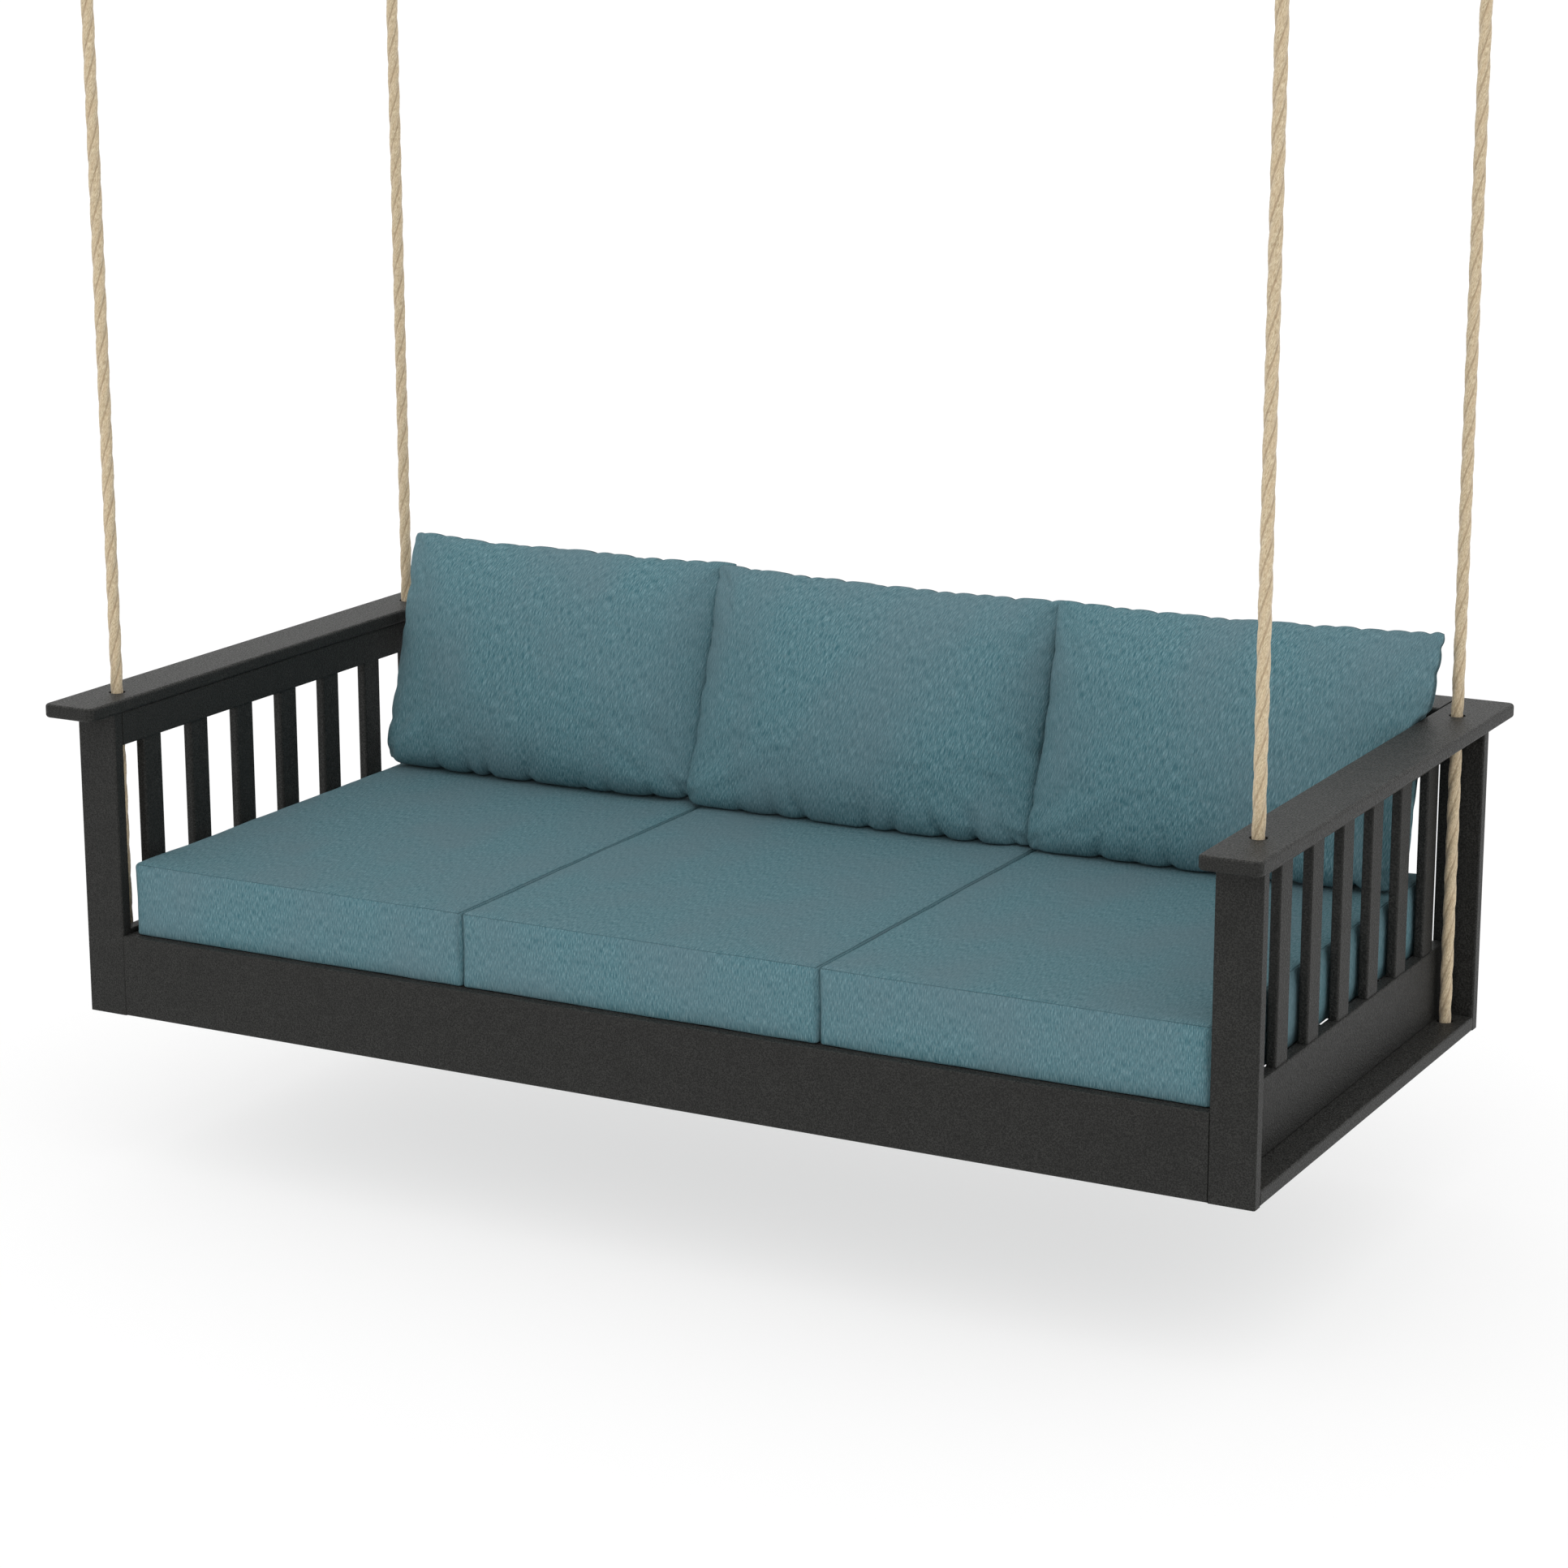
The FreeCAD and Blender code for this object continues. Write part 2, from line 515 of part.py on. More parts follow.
def back_panel():
    """Centre post, upper rails and two bays of slats that stand in the back apron."""
    low_y = "(frame_depth/2 - board_thick)"
    board("back_centre_post", ("(-post_wide/2)", low_y, "(apron_high - hang_height)"),
          ("post_wide", "board_thick", "(post_height - apron_high)"), "Z")
    first_slat = "(%s/2 - %s)" % (BACK_BAY, middle_row(BACK_SLAT_PITCH, BACK_SLATS))
    for side_name, side in SIDES.items():
        bay_low = mirrored_low(side, "(post_wide/2)", POST_INSIDE)
        rail = board(side_name + "_back_rail", (bay_low, low_y, "(post_height - upper_rail_high - hang_height)"),
                     (BACK_BAY, "board_thick", "upper_rail_high"), "X")
        mortises(rail, "X_Axis", "(board_thick/2)", first_slat, BACK_SLAT_PITCH, BACK_SLATS, "0", True)
        apron_first = "(%s + %s + %s)" % (bay_low, POST_INSIDE, first_slat)
        mortises(nodes["back_apron"], "X_Axis", "(board_thick/2)", apron_first, BACK_SLAT_PITCH, BACK_SLATS,
                 "apron_high", False)
        slat_row(side_name + "_back_slats",
                 ("(%s + %s - slat_wide/2)" % (bay_low, first_slat), "(%s + (board_thick - slat_thick)/2)" % low_y,
                  "(apron_high - tenon_long - hang_height)"),
                 ("slat_wide", "slat_thick", "(%s + 2*tenon_long)" % BACK_SLAT_CLEAR),
                 "X_Axis", BACK_SLAT_PITCH, BACK_SLATS)


def deck():
    """Deck boards on joists and side ledgers; the joists stand on ledgers along the aprons."""
    board_x = "(deck_end_gap - %s)" % POST_INSIDE
    board_long = "(2*%s - 2*deck_end_gap)" % POST_INSIDE
    first_hole = "(board_thick/2 - deck_end_gap)"
    rows = []
    for first, wide, count in (("deck_front_gap", "deck_front_wide", 1),
                               ("deck_first", "deck_board_wide", WIDE_DECK_BOARDS)):
        row = plain_board((board_x, "(%s + %s)" % (FRONT_INSIDE, first), "(%s - hang_height)" % DECK_UNDER),
                          (board_long, wide, "board_thick"), "X")
        for radius, depth in ((SCREW_HOLE, "board_thick"), (HEAD_HOLE, "screw_head_high")):
            hole = drill(row, [(first_hole, "(%s/2)" % wide)], radius, depth, lift="board_thick")
            repeat(row, "X_Axis", SUPPORT_PITCH, DECK_SUPPORTS, hole)
        if count > 1:
            repeat(row, "Y_Axis", DECK_PITCH, count)
        rows.append(row)
    group("deck_boards", rows)
    screw_y = ["(deck_front_gap + deck_front_wide/2)"]
    screw_y += ["(deck_first + deck_board_wide/2 + %d*%s)" % (i, DECK_PITCH) for i in range(WIDE_DECK_BOARDS)]
    screw_deep = "(deck_screw_long + screw_head_high - board_thick + screw_clear)"
    head_z = "(apron_high - screw_head_high - hang_height)"
    group("deck_screws", [screw_row(("(-2*%s)" % SUPPORT_PITCH, "(%s + %s)" % (FRONT_INSIDE, y), head_z),
                                    "deck_screw_long", UPWARDS, "X_Axis", SUPPORT_PITCH, DECK_SUPPORTS)
                          for y in screw_y])
    joists(screw_y, screw_deep)
    group("ledger_screws", side_ledgers(screw_y, screw_deep) + apron_ledgers())


def joists(screw_y, screw_deep):
    high = "(%s - joist_low)" % DECK_UNDER
    for node, place in (("left_joist", -1), ("middle_joist", 0), ("right_joist", 1)):
        body = board(node, ("(%d*%s - board_thick/2)" % (place, SUPPORT_PITCH), FRONT_INSIDE,
                            "(joist_low - hang_height)"),
                     ("board_thick", DEPTH_INSIDE, high), "Y")
        sketch = new_sketch(body, "YZ_Plane")
        add_rectangle(sketch, ("0", "0"), ("board_thick", "ledger_high"))
        add_rectangle(sketch, ("(%s - board_thick)" % DEPTH_INSIDE, "0"), ("board_thick", "ledger_high"))
        pocket(body, sketch, "board_thick", True)
        drill(body, [("(board_thick/2)", y) for y in screw_y], SCREW_HOLE, screw_deep, lift=high)


def side_ledgers(screw_y, screw_deep):
    """Side ledgers stop short of the aprons, because the corner brackets stand there."""
    long = "(%s - 2*side_ledger_inset)" % DEPTH_INSIDE
    pitch = "(ledger_screw_pitch/2)"
    screws = []
    for side_name, side in SIDES.items():
        body = board(side_name + "_ledger",
                     (mirrored_low(side, "(%s - board_thick)" % POST_INSIDE, POST_INSIDE),
                      "(%s + side_ledger_inset)" % FRONT_INSIDE, "(%s - side_ledger_high - hang_height)" % DECK_UNDER),
                     ("board_thick", long, "side_ledger_high"), "Y")
        drill(body, [("(board_thick/2)", "(%s - side_ledger_inset)" % y) for y in screw_y[1:]], SCREW_HOLE,
              screw_deep, lift="side_ledger_high")
        cross_y = ["(%s/2 + %d*%s)" % (long, i - 1, pitch) for i in range(SIDE_LEDGER_SCREWS)]
        cross_z = "(side_ledger_high/4)"
        drill(body, [(y, cross_z) for y in cross_y], SCREW_HOLE, "board_thick", "YZ_Plane", forward=True)
        rail_z = "(%s - side_ledger_high + %s - board_thick)" % (DECK_UNDER, cross_z)
        rail_lift, forward = ("0", True) if side > 0 else ("board_thick", False)
        drill(nodes[side_name + "_lower_rail"], [("(%s + side_ledger_inset)" % y, rail_z) for y in cross_y],
              SCREW_HOLE, "(ledger_screw_long - board_thick + screw_clear)", "YZ_Plane", rail_lift, forward)
        place = ("(%d*(%s - board_thick))" % (side, POST_INSIDE),
                 "(%s + side_ledger_inset + %s)" % (FRONT_INSIDE, cross_y[0]),
                 "(%s + board_thick - hang_height)" % rail_z)
        screws.append(screw_row(place, "ledger_screw_long", OUT_OF_RIGHT if side > 0 else OUT_OF_LEFT,
                                "Y_Axis", pitch, SIDE_LEDGER_SCREWS))
    return screws


def apron_ledgers():
    screws = []
    for end_name, end in ENDS.items():
        low_y = FRONT_INSIDE if end < 0 else "(frame_depth/2 - 2*board_thick)"
        body = board(end_name + "_ledger", ("(-%s)" % POST_INSIDE, low_y, "(joist_low - hang_height)"),
                     ("(2*%s)" % POST_INSIDE, "board_thick", "ledger_high"), "X")
        half_row = middle_row("ledger_screw_pitch", LONG_LEDGER_SCREWS)
        cross_x = ["(%s - %s + %d*ledger_screw_pitch)" % (POST_INSIDE, half_row, i) for i in range(LONG_LEDGER_SCREWS)]
        drill(body, [(x, "(ledger_high/2)") for x in cross_x], SCREW_HOLE, "board_thick", "XZ_Plane")
        apron_lift, forward = ("(-board_thick)", True) if end < 0 else ("0", False)
        drill(nodes[end_name + "_apron"], [(x, "(joist_low + ledger_high/2)") for x in cross_x], SCREW_HOLE,
              "(ledger_screw_long - board_thick + screw_clear)", "XZ_Plane", apron_lift, forward)
        place = ("(-%s)" % half_row, "(%d*(frame_depth/2 - 2*board_thick))" % end,
                 "(joist_low + ledger_high/2 - hang_height)")
        screws.append(screw_row(place, "ledger_screw_long", OUT_OF_FRONT if end < 0 else OUT_OF_BACK,
                                "X_Axis", "ledger_screw_pitch", LONG_LEDGER_SCREWS))
    return screws


def corner_brackets():
    """An angle of steel in each inner corner, screwed to the apron and to the lower side rail."""
    brackets, screws = [], []
    low_z, high_z = "(bracket_screw_rise/2)", "(bracket_screw_rise*3/2)"
    for side_name, side in SIDES.items():
        for end_name, end in ENDS.items():
            body = document.addObject("PartDesign::Body", "bracket")
            outer, inner = new_sketch(body), new_sketch(body, lift="bracket_high")
            add_rectangle(outer, ("0", "0"), ("bracket_leg", "bracket_leg"))
            pad(body, outer, "bracket_high")
            low_x = "0" if side > 0 else "bracket_thick"
            low_y = "bracket_thick" if end < 0 else "0"
            hollow = "(bracket_leg - bracket_thick)"
            add_rectangle(inner, (low_x, low_y), (hollow, hollow))
            pocket(body, inner, "bracket_high")
            apron_x = "(bracket_leg - bracket_screw_inset)" if side > 0 else "bracket_screw_inset"
            rail_y = "bracket_screw_inset" if end < 0 else "(bracket_leg - bracket_screw_inset)"
            drill(body, [(apron_x, low_z), (apron_x, high_z)], SCREW_HOLE, "bracket_leg", "XZ_Plane")
            drill(body, [(rail_y, low_z), (rail_y, high_z)], SCREW_HOLE, "bracket_leg", "YZ_Plane", forward=True)
            corner_x = mirrored_low(side, "(%s - bracket_leg)" % POST_INSIDE, POST_INSIDE)
            corner_y = FRONT_INSIDE if end < 0 else "(frame_depth/2 - board_thick - bracket_leg)"
            put(body, corner_x, corner_y, "(bracket_low - hang_height)")
            brackets.append(body)
            deep = "(bracket_screw_long - bracket_thick + screw_clear)"
            apron, rail = nodes[end_name + "_apron"], nodes[side_name + "_lower_rail"]
            apron_lift, forward = ("(-board_thick)", True) if end < 0 else ("0", False)
            drill(apron, [("(%s + %s + %s)" % (POST_INSIDE, corner_x, apron_x), "(bracket_low + %s)" % z)
                          for z in (low_z, high_z)], SCREW_HOLE, deep, "XZ_Plane", apron_lift, forward)
            rail_lift, forward = ("0", True) if side > 0 else ("board_thick", False)
            drill(rail, [("(%s - %s + %s)" % (corner_y, FRONT_INSIDE, rail_y), "(bracket_low - board_thick + %s)" % z)
                         for z in (low_z, high_z)], SCREW_HOLE, deep, "YZ_Plane", rail_lift, forward)
            screw_z = "(bracket_low + %s - hang_height)" % low_z
            apron_head = "(%d*(frame_depth/2 - board_thick - bracket_thick))" % end
            # a row of two along a turned screw's own axis that stands upright
            screws.append(screw_row(("(%s + %s)" % (corner_x, apron_x), apron_head,
                                     screw_z if end > 0 else "(%s + bracket_screw_rise)" % screw_z),
                                    "bracket_screw_long", OUT_OF_FRONT if end < 0 else OUT_OF_BACK,
                                    "Y_Axis", "bracket_screw_rise", 2))
            rail_head = "(%d*(%s - bracket_thick))" % (side, POST_INSIDE)
            screws.append(screw_row((rail_head, "(%s + %s)" % (corner_y, rail_y),
                                     screw_z if side > 0 else "(%s + bracket_screw_rise)" % screw_z),
                                    "bracket_screw_long", OUT_OF_RIGHT if side > 0 else OUT_OF_LEFT,
                                    "X_Axis", "bracket_screw_rise", 2))
    group("corner_brackets", brackets)
    group("bracket_screws", screws)


# Turned and bent hardware
def cylinder(radius, height, place=("0", "0", "0"), turn=()):
    item = document.addObject("Part::Cylinder", "cylinder")
    bind(item, Radius=radius, Height=height)
    put(item, *place, *turn)
    return item


def torus(ring, wire, place=("0", "0", "0"), turn=(), sweep=360):
    item = document.addObject("Part::Torus", "torus")
    bind(item, Radius1=ring, Radius2=wire)
    item.Angle3 = sweep
    put(item, *place, *turn)
    return item


def joined(items, place=None):
    item = document.addObject("Part::MultiFuse", "joined")
    item.Shapes = items
    if place:
        put(item, *place)
    return item


def cut(base, tool, place=None):
    item = document.addObject("Part::Cut", "cut")
    item.Base = base
    item.Tool = tool
    if place:
        put(item, *place)
    return item


def rope_places():
    for side_name, side in SIDES.items():
        for end_name, end in ENDS.items():
            yield side_name, end_name, "(%d*%s)" % (side, ROPE_X), "(%d*%s)" % (end, ROPE_Y)


ACROSS = ((0, 1, 0), 90)


def eye_bolt(x, y):
    """A stud that goes up into the ceiling, with a collar and an eye whose hole runs along X."""
    stud = cylinder("stud_radius", "(stud_long - stud_tip)")
    tip = document.addObject("Part::Cone", "tip")
    bind(tip, Radius1="stud_radius", Radius2="(stud_radius/2)", Height="stud_tip")
    put(tip, "0", "0", "(stud_long - stud_tip)")
    collar = cylinder("collar_radius", "collar_high", ("0", "0", "(-collar_high)"))
    eye = torus("eye_ring_radius", "eye_wire_radius", ("0", "0", EYE_MIDDLE), ACROSS)
    return joined([stud, tip, collar, eye], (x, y, "0"))


def shackle(x, y):
    """A bow of bent bar with two ears; its pin goes through the eye bolt and is the swing's pivot."""
    straight = "(shackle_long - shackle_half_wide)"
    bow = torus("shackle_half_wide", "shackle_radius", ("0", "0", "(-%s)" % straight), ((1, 0, 0), -90), 180)
    leg = "(%s - pin_head_radius)" % straight
    solids = [bow]
    for side in SIDES.values():
        solids.append(cylinder("shackle_radius", leg, ("(%d*shackle_half_wide)" % side, "0", "(-%s)" % straight)))
        solids.append(cylinder("ear_radius", "ear_thick",
                               ("(%d*shackle_half_wide - ear_thick/2)" % side, "0", "0"), ACROSS))
    outside = "(shackle_half_wide + shackle_radius)"
    hole = cylinder("(pin_radius + screw_clear)", "(2*%s)" % outside, ("(-%s)" % outside, "0", "0"), ACROSS)
    return cut(joined(solids), hole, (x, y, SWING_PIVOT))


def shackle_pin(x, y, side):
    """The pin has its head towards the middle of the seat and screws into the outer ear."""
    half = "(shackle_half_wide + ear_thick/2)"
    low = "(-%s - pin_over)" % half if side < 0 else "(-%s)" % half
    pin = cylinder("pin_radius", "(2*%s + pin_over)" % half, (low, "0", "0"), ACROSS)
    head_x = half if side < 0 else "(-%s - pin_head_thick)" % half
    head = cylinder("pin_head_radius", "pin_head_thick", (head_x, "0", "0"), ACROSS)
    return joined([pin, head], (x, y, SWING_PIVOT))


def thimble(x, y):
    """A round thimble: a ring with a groove that the rope's eye lies in."""
    rim = cylinder("thimble_rim_radius", "thimble_wide", ("(-thimble_wide/2)", "0", "0"), ACROSS)
    hole = cylinder("thimble_hole_radius", "thimble_wide", ("(-thimble_wide/2)", "0", "0"), ACROSS)
    groove = torus("loop_radius", "(rope_radius + loop_clear)", turn=ACROSS)
    return cut(rim, joined([hole, groove]), (x, y, THIMBLE_MIDDLE))


def rope_eye(x, y):
    """The rope's end laid round its thimble and spliced back into the rope in a taper."""
    loop = torus("loop_radius", "rope_radius", turn=ACROSS)
    taper = document.addObject("Part::Cone", "taper")
    bind(taper, Radius1="rope_radius", Radius2="splice_radius", Height="(splice_long - splice_radius/2)")
    put(taper, "0", "0", "(-loop_radius - splice_long)")
    neck = document.addObject("Part::Cone", "neck")
    bind(neck, Radius1="splice_radius", Radius2="rope_radius", Height="(splice_radius/2)")
    put(neck, "0", "0", "(-loop_radius - splice_radius/2)")
    return joined([loop, taper, neck], (x, y, THIMBLE_MIDDLE))


def upper_rope(x, y):
    """Rope from its splice down to the arm, with a round end centred on the pivot in the arm's hole."""
    long = "(%s - splice_long - %s)" % (SPLICE_TOP, ARM_TOP)
    tube = cylinder("rope_radius", long)
    end = document.addObject("Part::Sphere", "end")
    bind(end, Radius="rope_radius")
    return joined([tube, end], (x, y, ARM_TOP))


def lower_rope(x, y):
    """Rope from the arm's hole down through the bottom board to its stop."""
    top = "(%s - rope_radius - rope_gap)" % ARM_TOP
    low = "(stop_clear - hang_height)"
    return cylinder("rope_radius", "(%s - %s)" % (top, low), (x, y, low))


def rope_stop(x, y):
    """A flanged sleeve crimped on the rope's end and let into the underside of the bottom board."""
    flange_low = "(stop_high - stop_flange_thick)"
    flange = cylinder("stop_flange_radius", "stop_flange_thick", ("0", "0", flange_low))
    sleeve = cylinder("stop_sleeve_radius", flange_low)
    return cut(joined([flange, sleeve]), cylinder("rope_radius", "stop_high"), (x, y, "(-hang_height)"))


def hanging():
    for side_name, end_name, x, y in rope_places():
        name = "%s_%s_" % (side_name, end_name)
        keep(name + "rope", upper_rope(x, y))
        keep(name + "rope_tail", lower_rope(x, y))
    places = [(x, y) for side_name, end_name, x, y in rope_places()]
    for node, maker in (("ceiling_eye_bolts", eye_bolt), ("rope_stops", rope_stop)):
        group(node, [maker(x, y) for x, y in places])
    for end_name in ENDS:
        places = [(x, y, SIDES[side_name]) for side_name, end, x, y in rope_places() if end == end_name]
        for node, maker in (("shackles", shackle), ("thimbles", thimble), ("rope_eyes", rope_eye)):
            group("%s_%s" % (end_name, node), [maker(x, y) for x, y, side in places])
        group(end_name + "_shackle_pins", [shackle_pin(x, y, side) for x, y, side in places])


# Cushions, as closed solids of their true size
CUSHIONS = {"left": -1, "middle": 0, "right": 1}


def seat_cushions():
    for name, place in CUSHIONS.items():
        low_x = "(%d*(%s + cushion_gap) - %s/2)" % (place, SEAT_CUSHION_WIDE, SEAT_CUSHION_WIDE)
        body = board(name + "_seat_cushion",
                     (low_x, "(seat_cushion_back - frame_depth/2)", "(apron_high + cushion_gap - hang_height)"),
                     (SEAT_CUSHION_WIDE, SEAT_CUSHION_DEEP, "seat_cushion_thick"), None)
        every_edge = ["Edge%d" % (i + 1) for i in range(len(body.Tip.Shape.Edges))]
        fillet(body, every_edge, "seat_cushion_round")


def back_cushions():
    """Knife-edge cushions, full in the middle and thin at the seam, leaning on the back cap."""
    for name, place in CUSHIONS.items():
        node = name + "_back_cushion"
        body = keep(node, document.addObject("PartDesign::Body", node))
        sections = []
        for side, share in ((-1, 1), (-0.87, 0.5), (0, 0), (0.87, 0.5), (1, 1)):
            sketch = new_sketch(body, lift="(%s*back_cushion_thick/2)" % side)
            inset = "2*%s*back_cushion_edge" % share
            corner = "(back_cushion_corner + %s*(back_cushion_edge - back_cushion_corner)*0.6)" % share
            add_rounded_outline(sketch, "(%s - %s)" % (BACK_CUSHION_WIDE, inset),
                                "(back_cushion_high - %s)" % inset, corner)
            sections.append(sketch)
        loft = body.newObject("PartDesign::AdditiveLoft", node + "_loft")
        loft.Profile = sections[0]
        loft.Sections = sections[1:]
        middle = "(apron_high + cushion_gap + seat_cushion_thick + back_cushion_lift + back_cushion_high/2*cos(%s))" % (
            "back_cushion_lean")
        put(body, "(%d*(%s + cushion_gap))" % (place, BACK_CUSHION_WIDE), "(frame_depth/2 - back_cushion_forward)",
            "(%s - hang_height)" % middle, (1, 0, 0), 90 - worth("back_cushion_lean"))
        bind(body, Placement__Rotation__Angle="(90 - back_cushion_lean)")


def check_and_write():
    """Every object must have computed, and every node must be sound, before anything is written."""
    document.recompute()
    for item in document.Objects:
        if "Invalid" in item.State or "Error" in item.State:
            raise ValueError("%s did not compute: %s" % (item.Label, item.State))
    os.makedirs("parts", exist_ok=True)
    for node, item in nodes.items():
        if item.Shape.isNull() or not item.Shape.isValid() or not item.Shape.Solids:
            raise ValueError("%s has no sound solid" % node)
    for node, item in nodes.items():
        item.Shape.exportStep(os.path.join("parts", node + ".step"))
    print(len(nodes), "nodes,", sum(len(item.Shape.Solids) for item in nodes.values()), "solids")


posts()
aprons()
rail_screws = []
for side_name, side in SIDES.items():
    rail_screws += side_panel(side_name, side)
group("rail_screws", rail_screws)
arms()
back_panel()
deck()
corner_brackets()
hanging()
seat_cushions()
back_cushions()
check_and_write()
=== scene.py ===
import json
import random
from math import cos, exp, pi, radians, sin, sqrt

import bpy
from mathutils import Matrix, Vector, noise


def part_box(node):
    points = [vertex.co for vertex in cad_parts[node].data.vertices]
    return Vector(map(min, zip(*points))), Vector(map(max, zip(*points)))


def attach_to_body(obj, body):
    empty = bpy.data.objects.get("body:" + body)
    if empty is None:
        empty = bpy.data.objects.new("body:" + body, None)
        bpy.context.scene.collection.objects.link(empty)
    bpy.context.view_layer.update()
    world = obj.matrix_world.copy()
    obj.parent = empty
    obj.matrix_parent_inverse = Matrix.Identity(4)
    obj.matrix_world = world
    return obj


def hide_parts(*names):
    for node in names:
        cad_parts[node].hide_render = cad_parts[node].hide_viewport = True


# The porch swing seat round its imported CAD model: cloth cushions, laid ropes, materials, camera and studio.
# Lengths are in metres and colours are linear.
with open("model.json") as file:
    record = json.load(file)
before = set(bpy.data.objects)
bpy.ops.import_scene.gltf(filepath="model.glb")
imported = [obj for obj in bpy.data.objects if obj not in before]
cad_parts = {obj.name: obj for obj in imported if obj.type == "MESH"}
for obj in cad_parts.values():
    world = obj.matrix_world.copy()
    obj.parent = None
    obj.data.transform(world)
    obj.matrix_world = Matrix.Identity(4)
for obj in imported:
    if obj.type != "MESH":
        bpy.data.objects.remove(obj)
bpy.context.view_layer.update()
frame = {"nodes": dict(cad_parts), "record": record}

SIDES = ("left", "right")
ENDS = ("front", "back")
CUSHIONS = ("left", "middle", "right")

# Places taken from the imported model
CAP_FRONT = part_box("back_cap")[0].y
CAP_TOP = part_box("back_cap")[1].z
SEAT_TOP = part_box("middle_seat_cushion")[1].z
ARM_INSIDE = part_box("right_arm")[0].x
ARM_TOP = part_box("right_arm")[1].z
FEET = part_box("left_front_post")[0].z

# Camera, solved from the photograph's straight edges: angles in radians, sensor in mm, focal length in pixels
CAMERA_PLACE = (2.8551, -5.3134, -0.0018)
CAMERA_YAW = radians(28.16)
CAMERA_PITCH = radians(14.08)
CAMERA_ROLL = -0.0016
CAMERA_SENSOR = 36
CAMERA_FAR = 500
PHOTO_SIDE = 1932
PHOTO_FOCAL = 4870.67

# Floor below the feet, a sky brighter at the horizon than overhead, and a broad sun above and behind the camera
FLOOR_DROP = 0.27
FLOOR_HALF = 150
FLOOR_GLOW = 0.62
SKY_LOW, SKY_HIGH = 1.12, 0.78
SUN_STRENGTH = 0.8
SUN_WIDE = radians(60)
SUN_RISE = radians(50)
SUN_AROUND = radians(22)

# Ropes of three laid strands. The lay is the length of one turn, and a strand's middle is off the rope's middle
# by a share of its radius. Rings of points follow the rope, and fibres roughen it along the strands.
ROPE_RADIUS = 0.00975
ROPE_LAY = 0.158
ROPE_STRANDS = 3
STRAND_OFFSET = 0.26
ROPE_RING = 40
ROPE_STEP = 0.0025
ROPE_TIP = 0.0015
FIBRE_DEEP, FIBRES_ROUND, FIBRES_ALONG = 0.00045, 5, 90
FUZZ_DEEP, FUZZ_FINE = 0.00025, 700

# The rope's loop round its thimble, open at its foot by an angle in degrees to each side, and its splice, which
# reaches down into the rope and up into the loop and is full at a share of its length
LOOP_GAP = 16
LOOP_POINTS = 90
SPLICE_RADIUS = 0.014
SPLICE_DOWN = 0.001
SPLICE_UP = ROPE_RADIUS * 0.6
SPLICE_FULL = 0.75

# Back cushions: two crowned sheets sewn round their edge, filled by the cloth solver, leaned on the back cap.
# The filling draws each side of the seam in by a share of BAG_PULL, or out where that is negative. A crown's power
# is higher where the sheet stays full nearer to the seam.
BAG_CELL = 0.010
BAG_WIDE = 0.652
BAG_HIGH = 0.414
BAG_THICK = 0.140
BAG_TAPER = 0.08
BAG_CROWD = 0.45
BAG_CORNER = {"top": 0.019, "bottom": 0.034}
BAG_PULL = 0.010
BAG_PULL_SHARE = {"top": 0.7, "bottom": -0.4}
BAG_CROWN_ACROSS = 4.4
BAG_CROWN_UP = {"top": 3.2, "bottom": 6}
BAG_SWELL = 0.014
BAG_WEAVE_SHIFT = 1.7
BAG_LEAN = radians(12.9)
BAG_MIDDLE = (0.3352, -1.455)
# Middle's x, roll in degrees, rise, sideways slump with height, width as a share
BAG_PLACES = {"left": (-0.606, -0.2, 0.007, 0.040, 0.978), "middle": (0.003, 0.2, 0.001, 0.038, 0.996),
              "right": (0.627, -0.9, 0.0045, 0.045, 0.994)}

# A back cushion's right side goes behind its neighbour's left side, more so from one distance off its middle to
# another. It keeps clear of cap, arm and seat, and above the arm it bulges outwards again.
LAP_DEEP, LAP_FROM, LAP_TO = 0.011, 0.22, 0.31
CLEAR = 0.0015
CAP_RISE = 0.006
ARM_BULGE, ARM_BULGE_FROM, ARM_BULGE_TO = 0.05, -0.002, 0.035

# Creases along each side of the seam: their pitch, depth, length inwards and half width at the seam
PUCKER_PITCH = {"left": 0.062, "right": 0.062, "top": 0.038, "bottom": 0.075}
PUCKER_DEEP = {"left": 0.0090, "right": 0.0080, "top": 0.0085, "bottom": 0.0140}
PUCKER_LONG = {"left": 0.024, "right": 0.024, "top": 0.018, "bottom": 0.050}
PUCKER_REACH = {"left": 0.0070, "right": 0.0070, "top": 0.0060, "bottom": 0.0075}
# How they vary: place as a share of the pitch, weakest strength, slant. Then how much they widen inwards, their
# profile's power and end in half widths, where they fade before a corner, and how far in they are looked for
PUCKER_SEED = 40
PUCKER_JITTER, PUCKER_WEAKEST, PUCKER_SLANT = 0.38, 0.35, 0.5
PUCKER_WIDEN, PUCKER_POWER, PUCKER_END = 0.22, 1.4, 5
PUCKER_FADE = (0.008, 0.035)
PUCKER_FIELD = 0.12
# One more crease, in the middle cushion's right side: place along the side, strength, slant
PINCH_CUSHION, PINCH = 1, (-0.052, 1.3, 0.25)
SEAM_NIP = 0.0016
# Uneven face of a back cushion: height, waves across it and through it, shift from cushion to cushion
FACE_WAVES = ((0.0030, 7, 3, 5.1), (0.0008, 26, 9, 2.3))

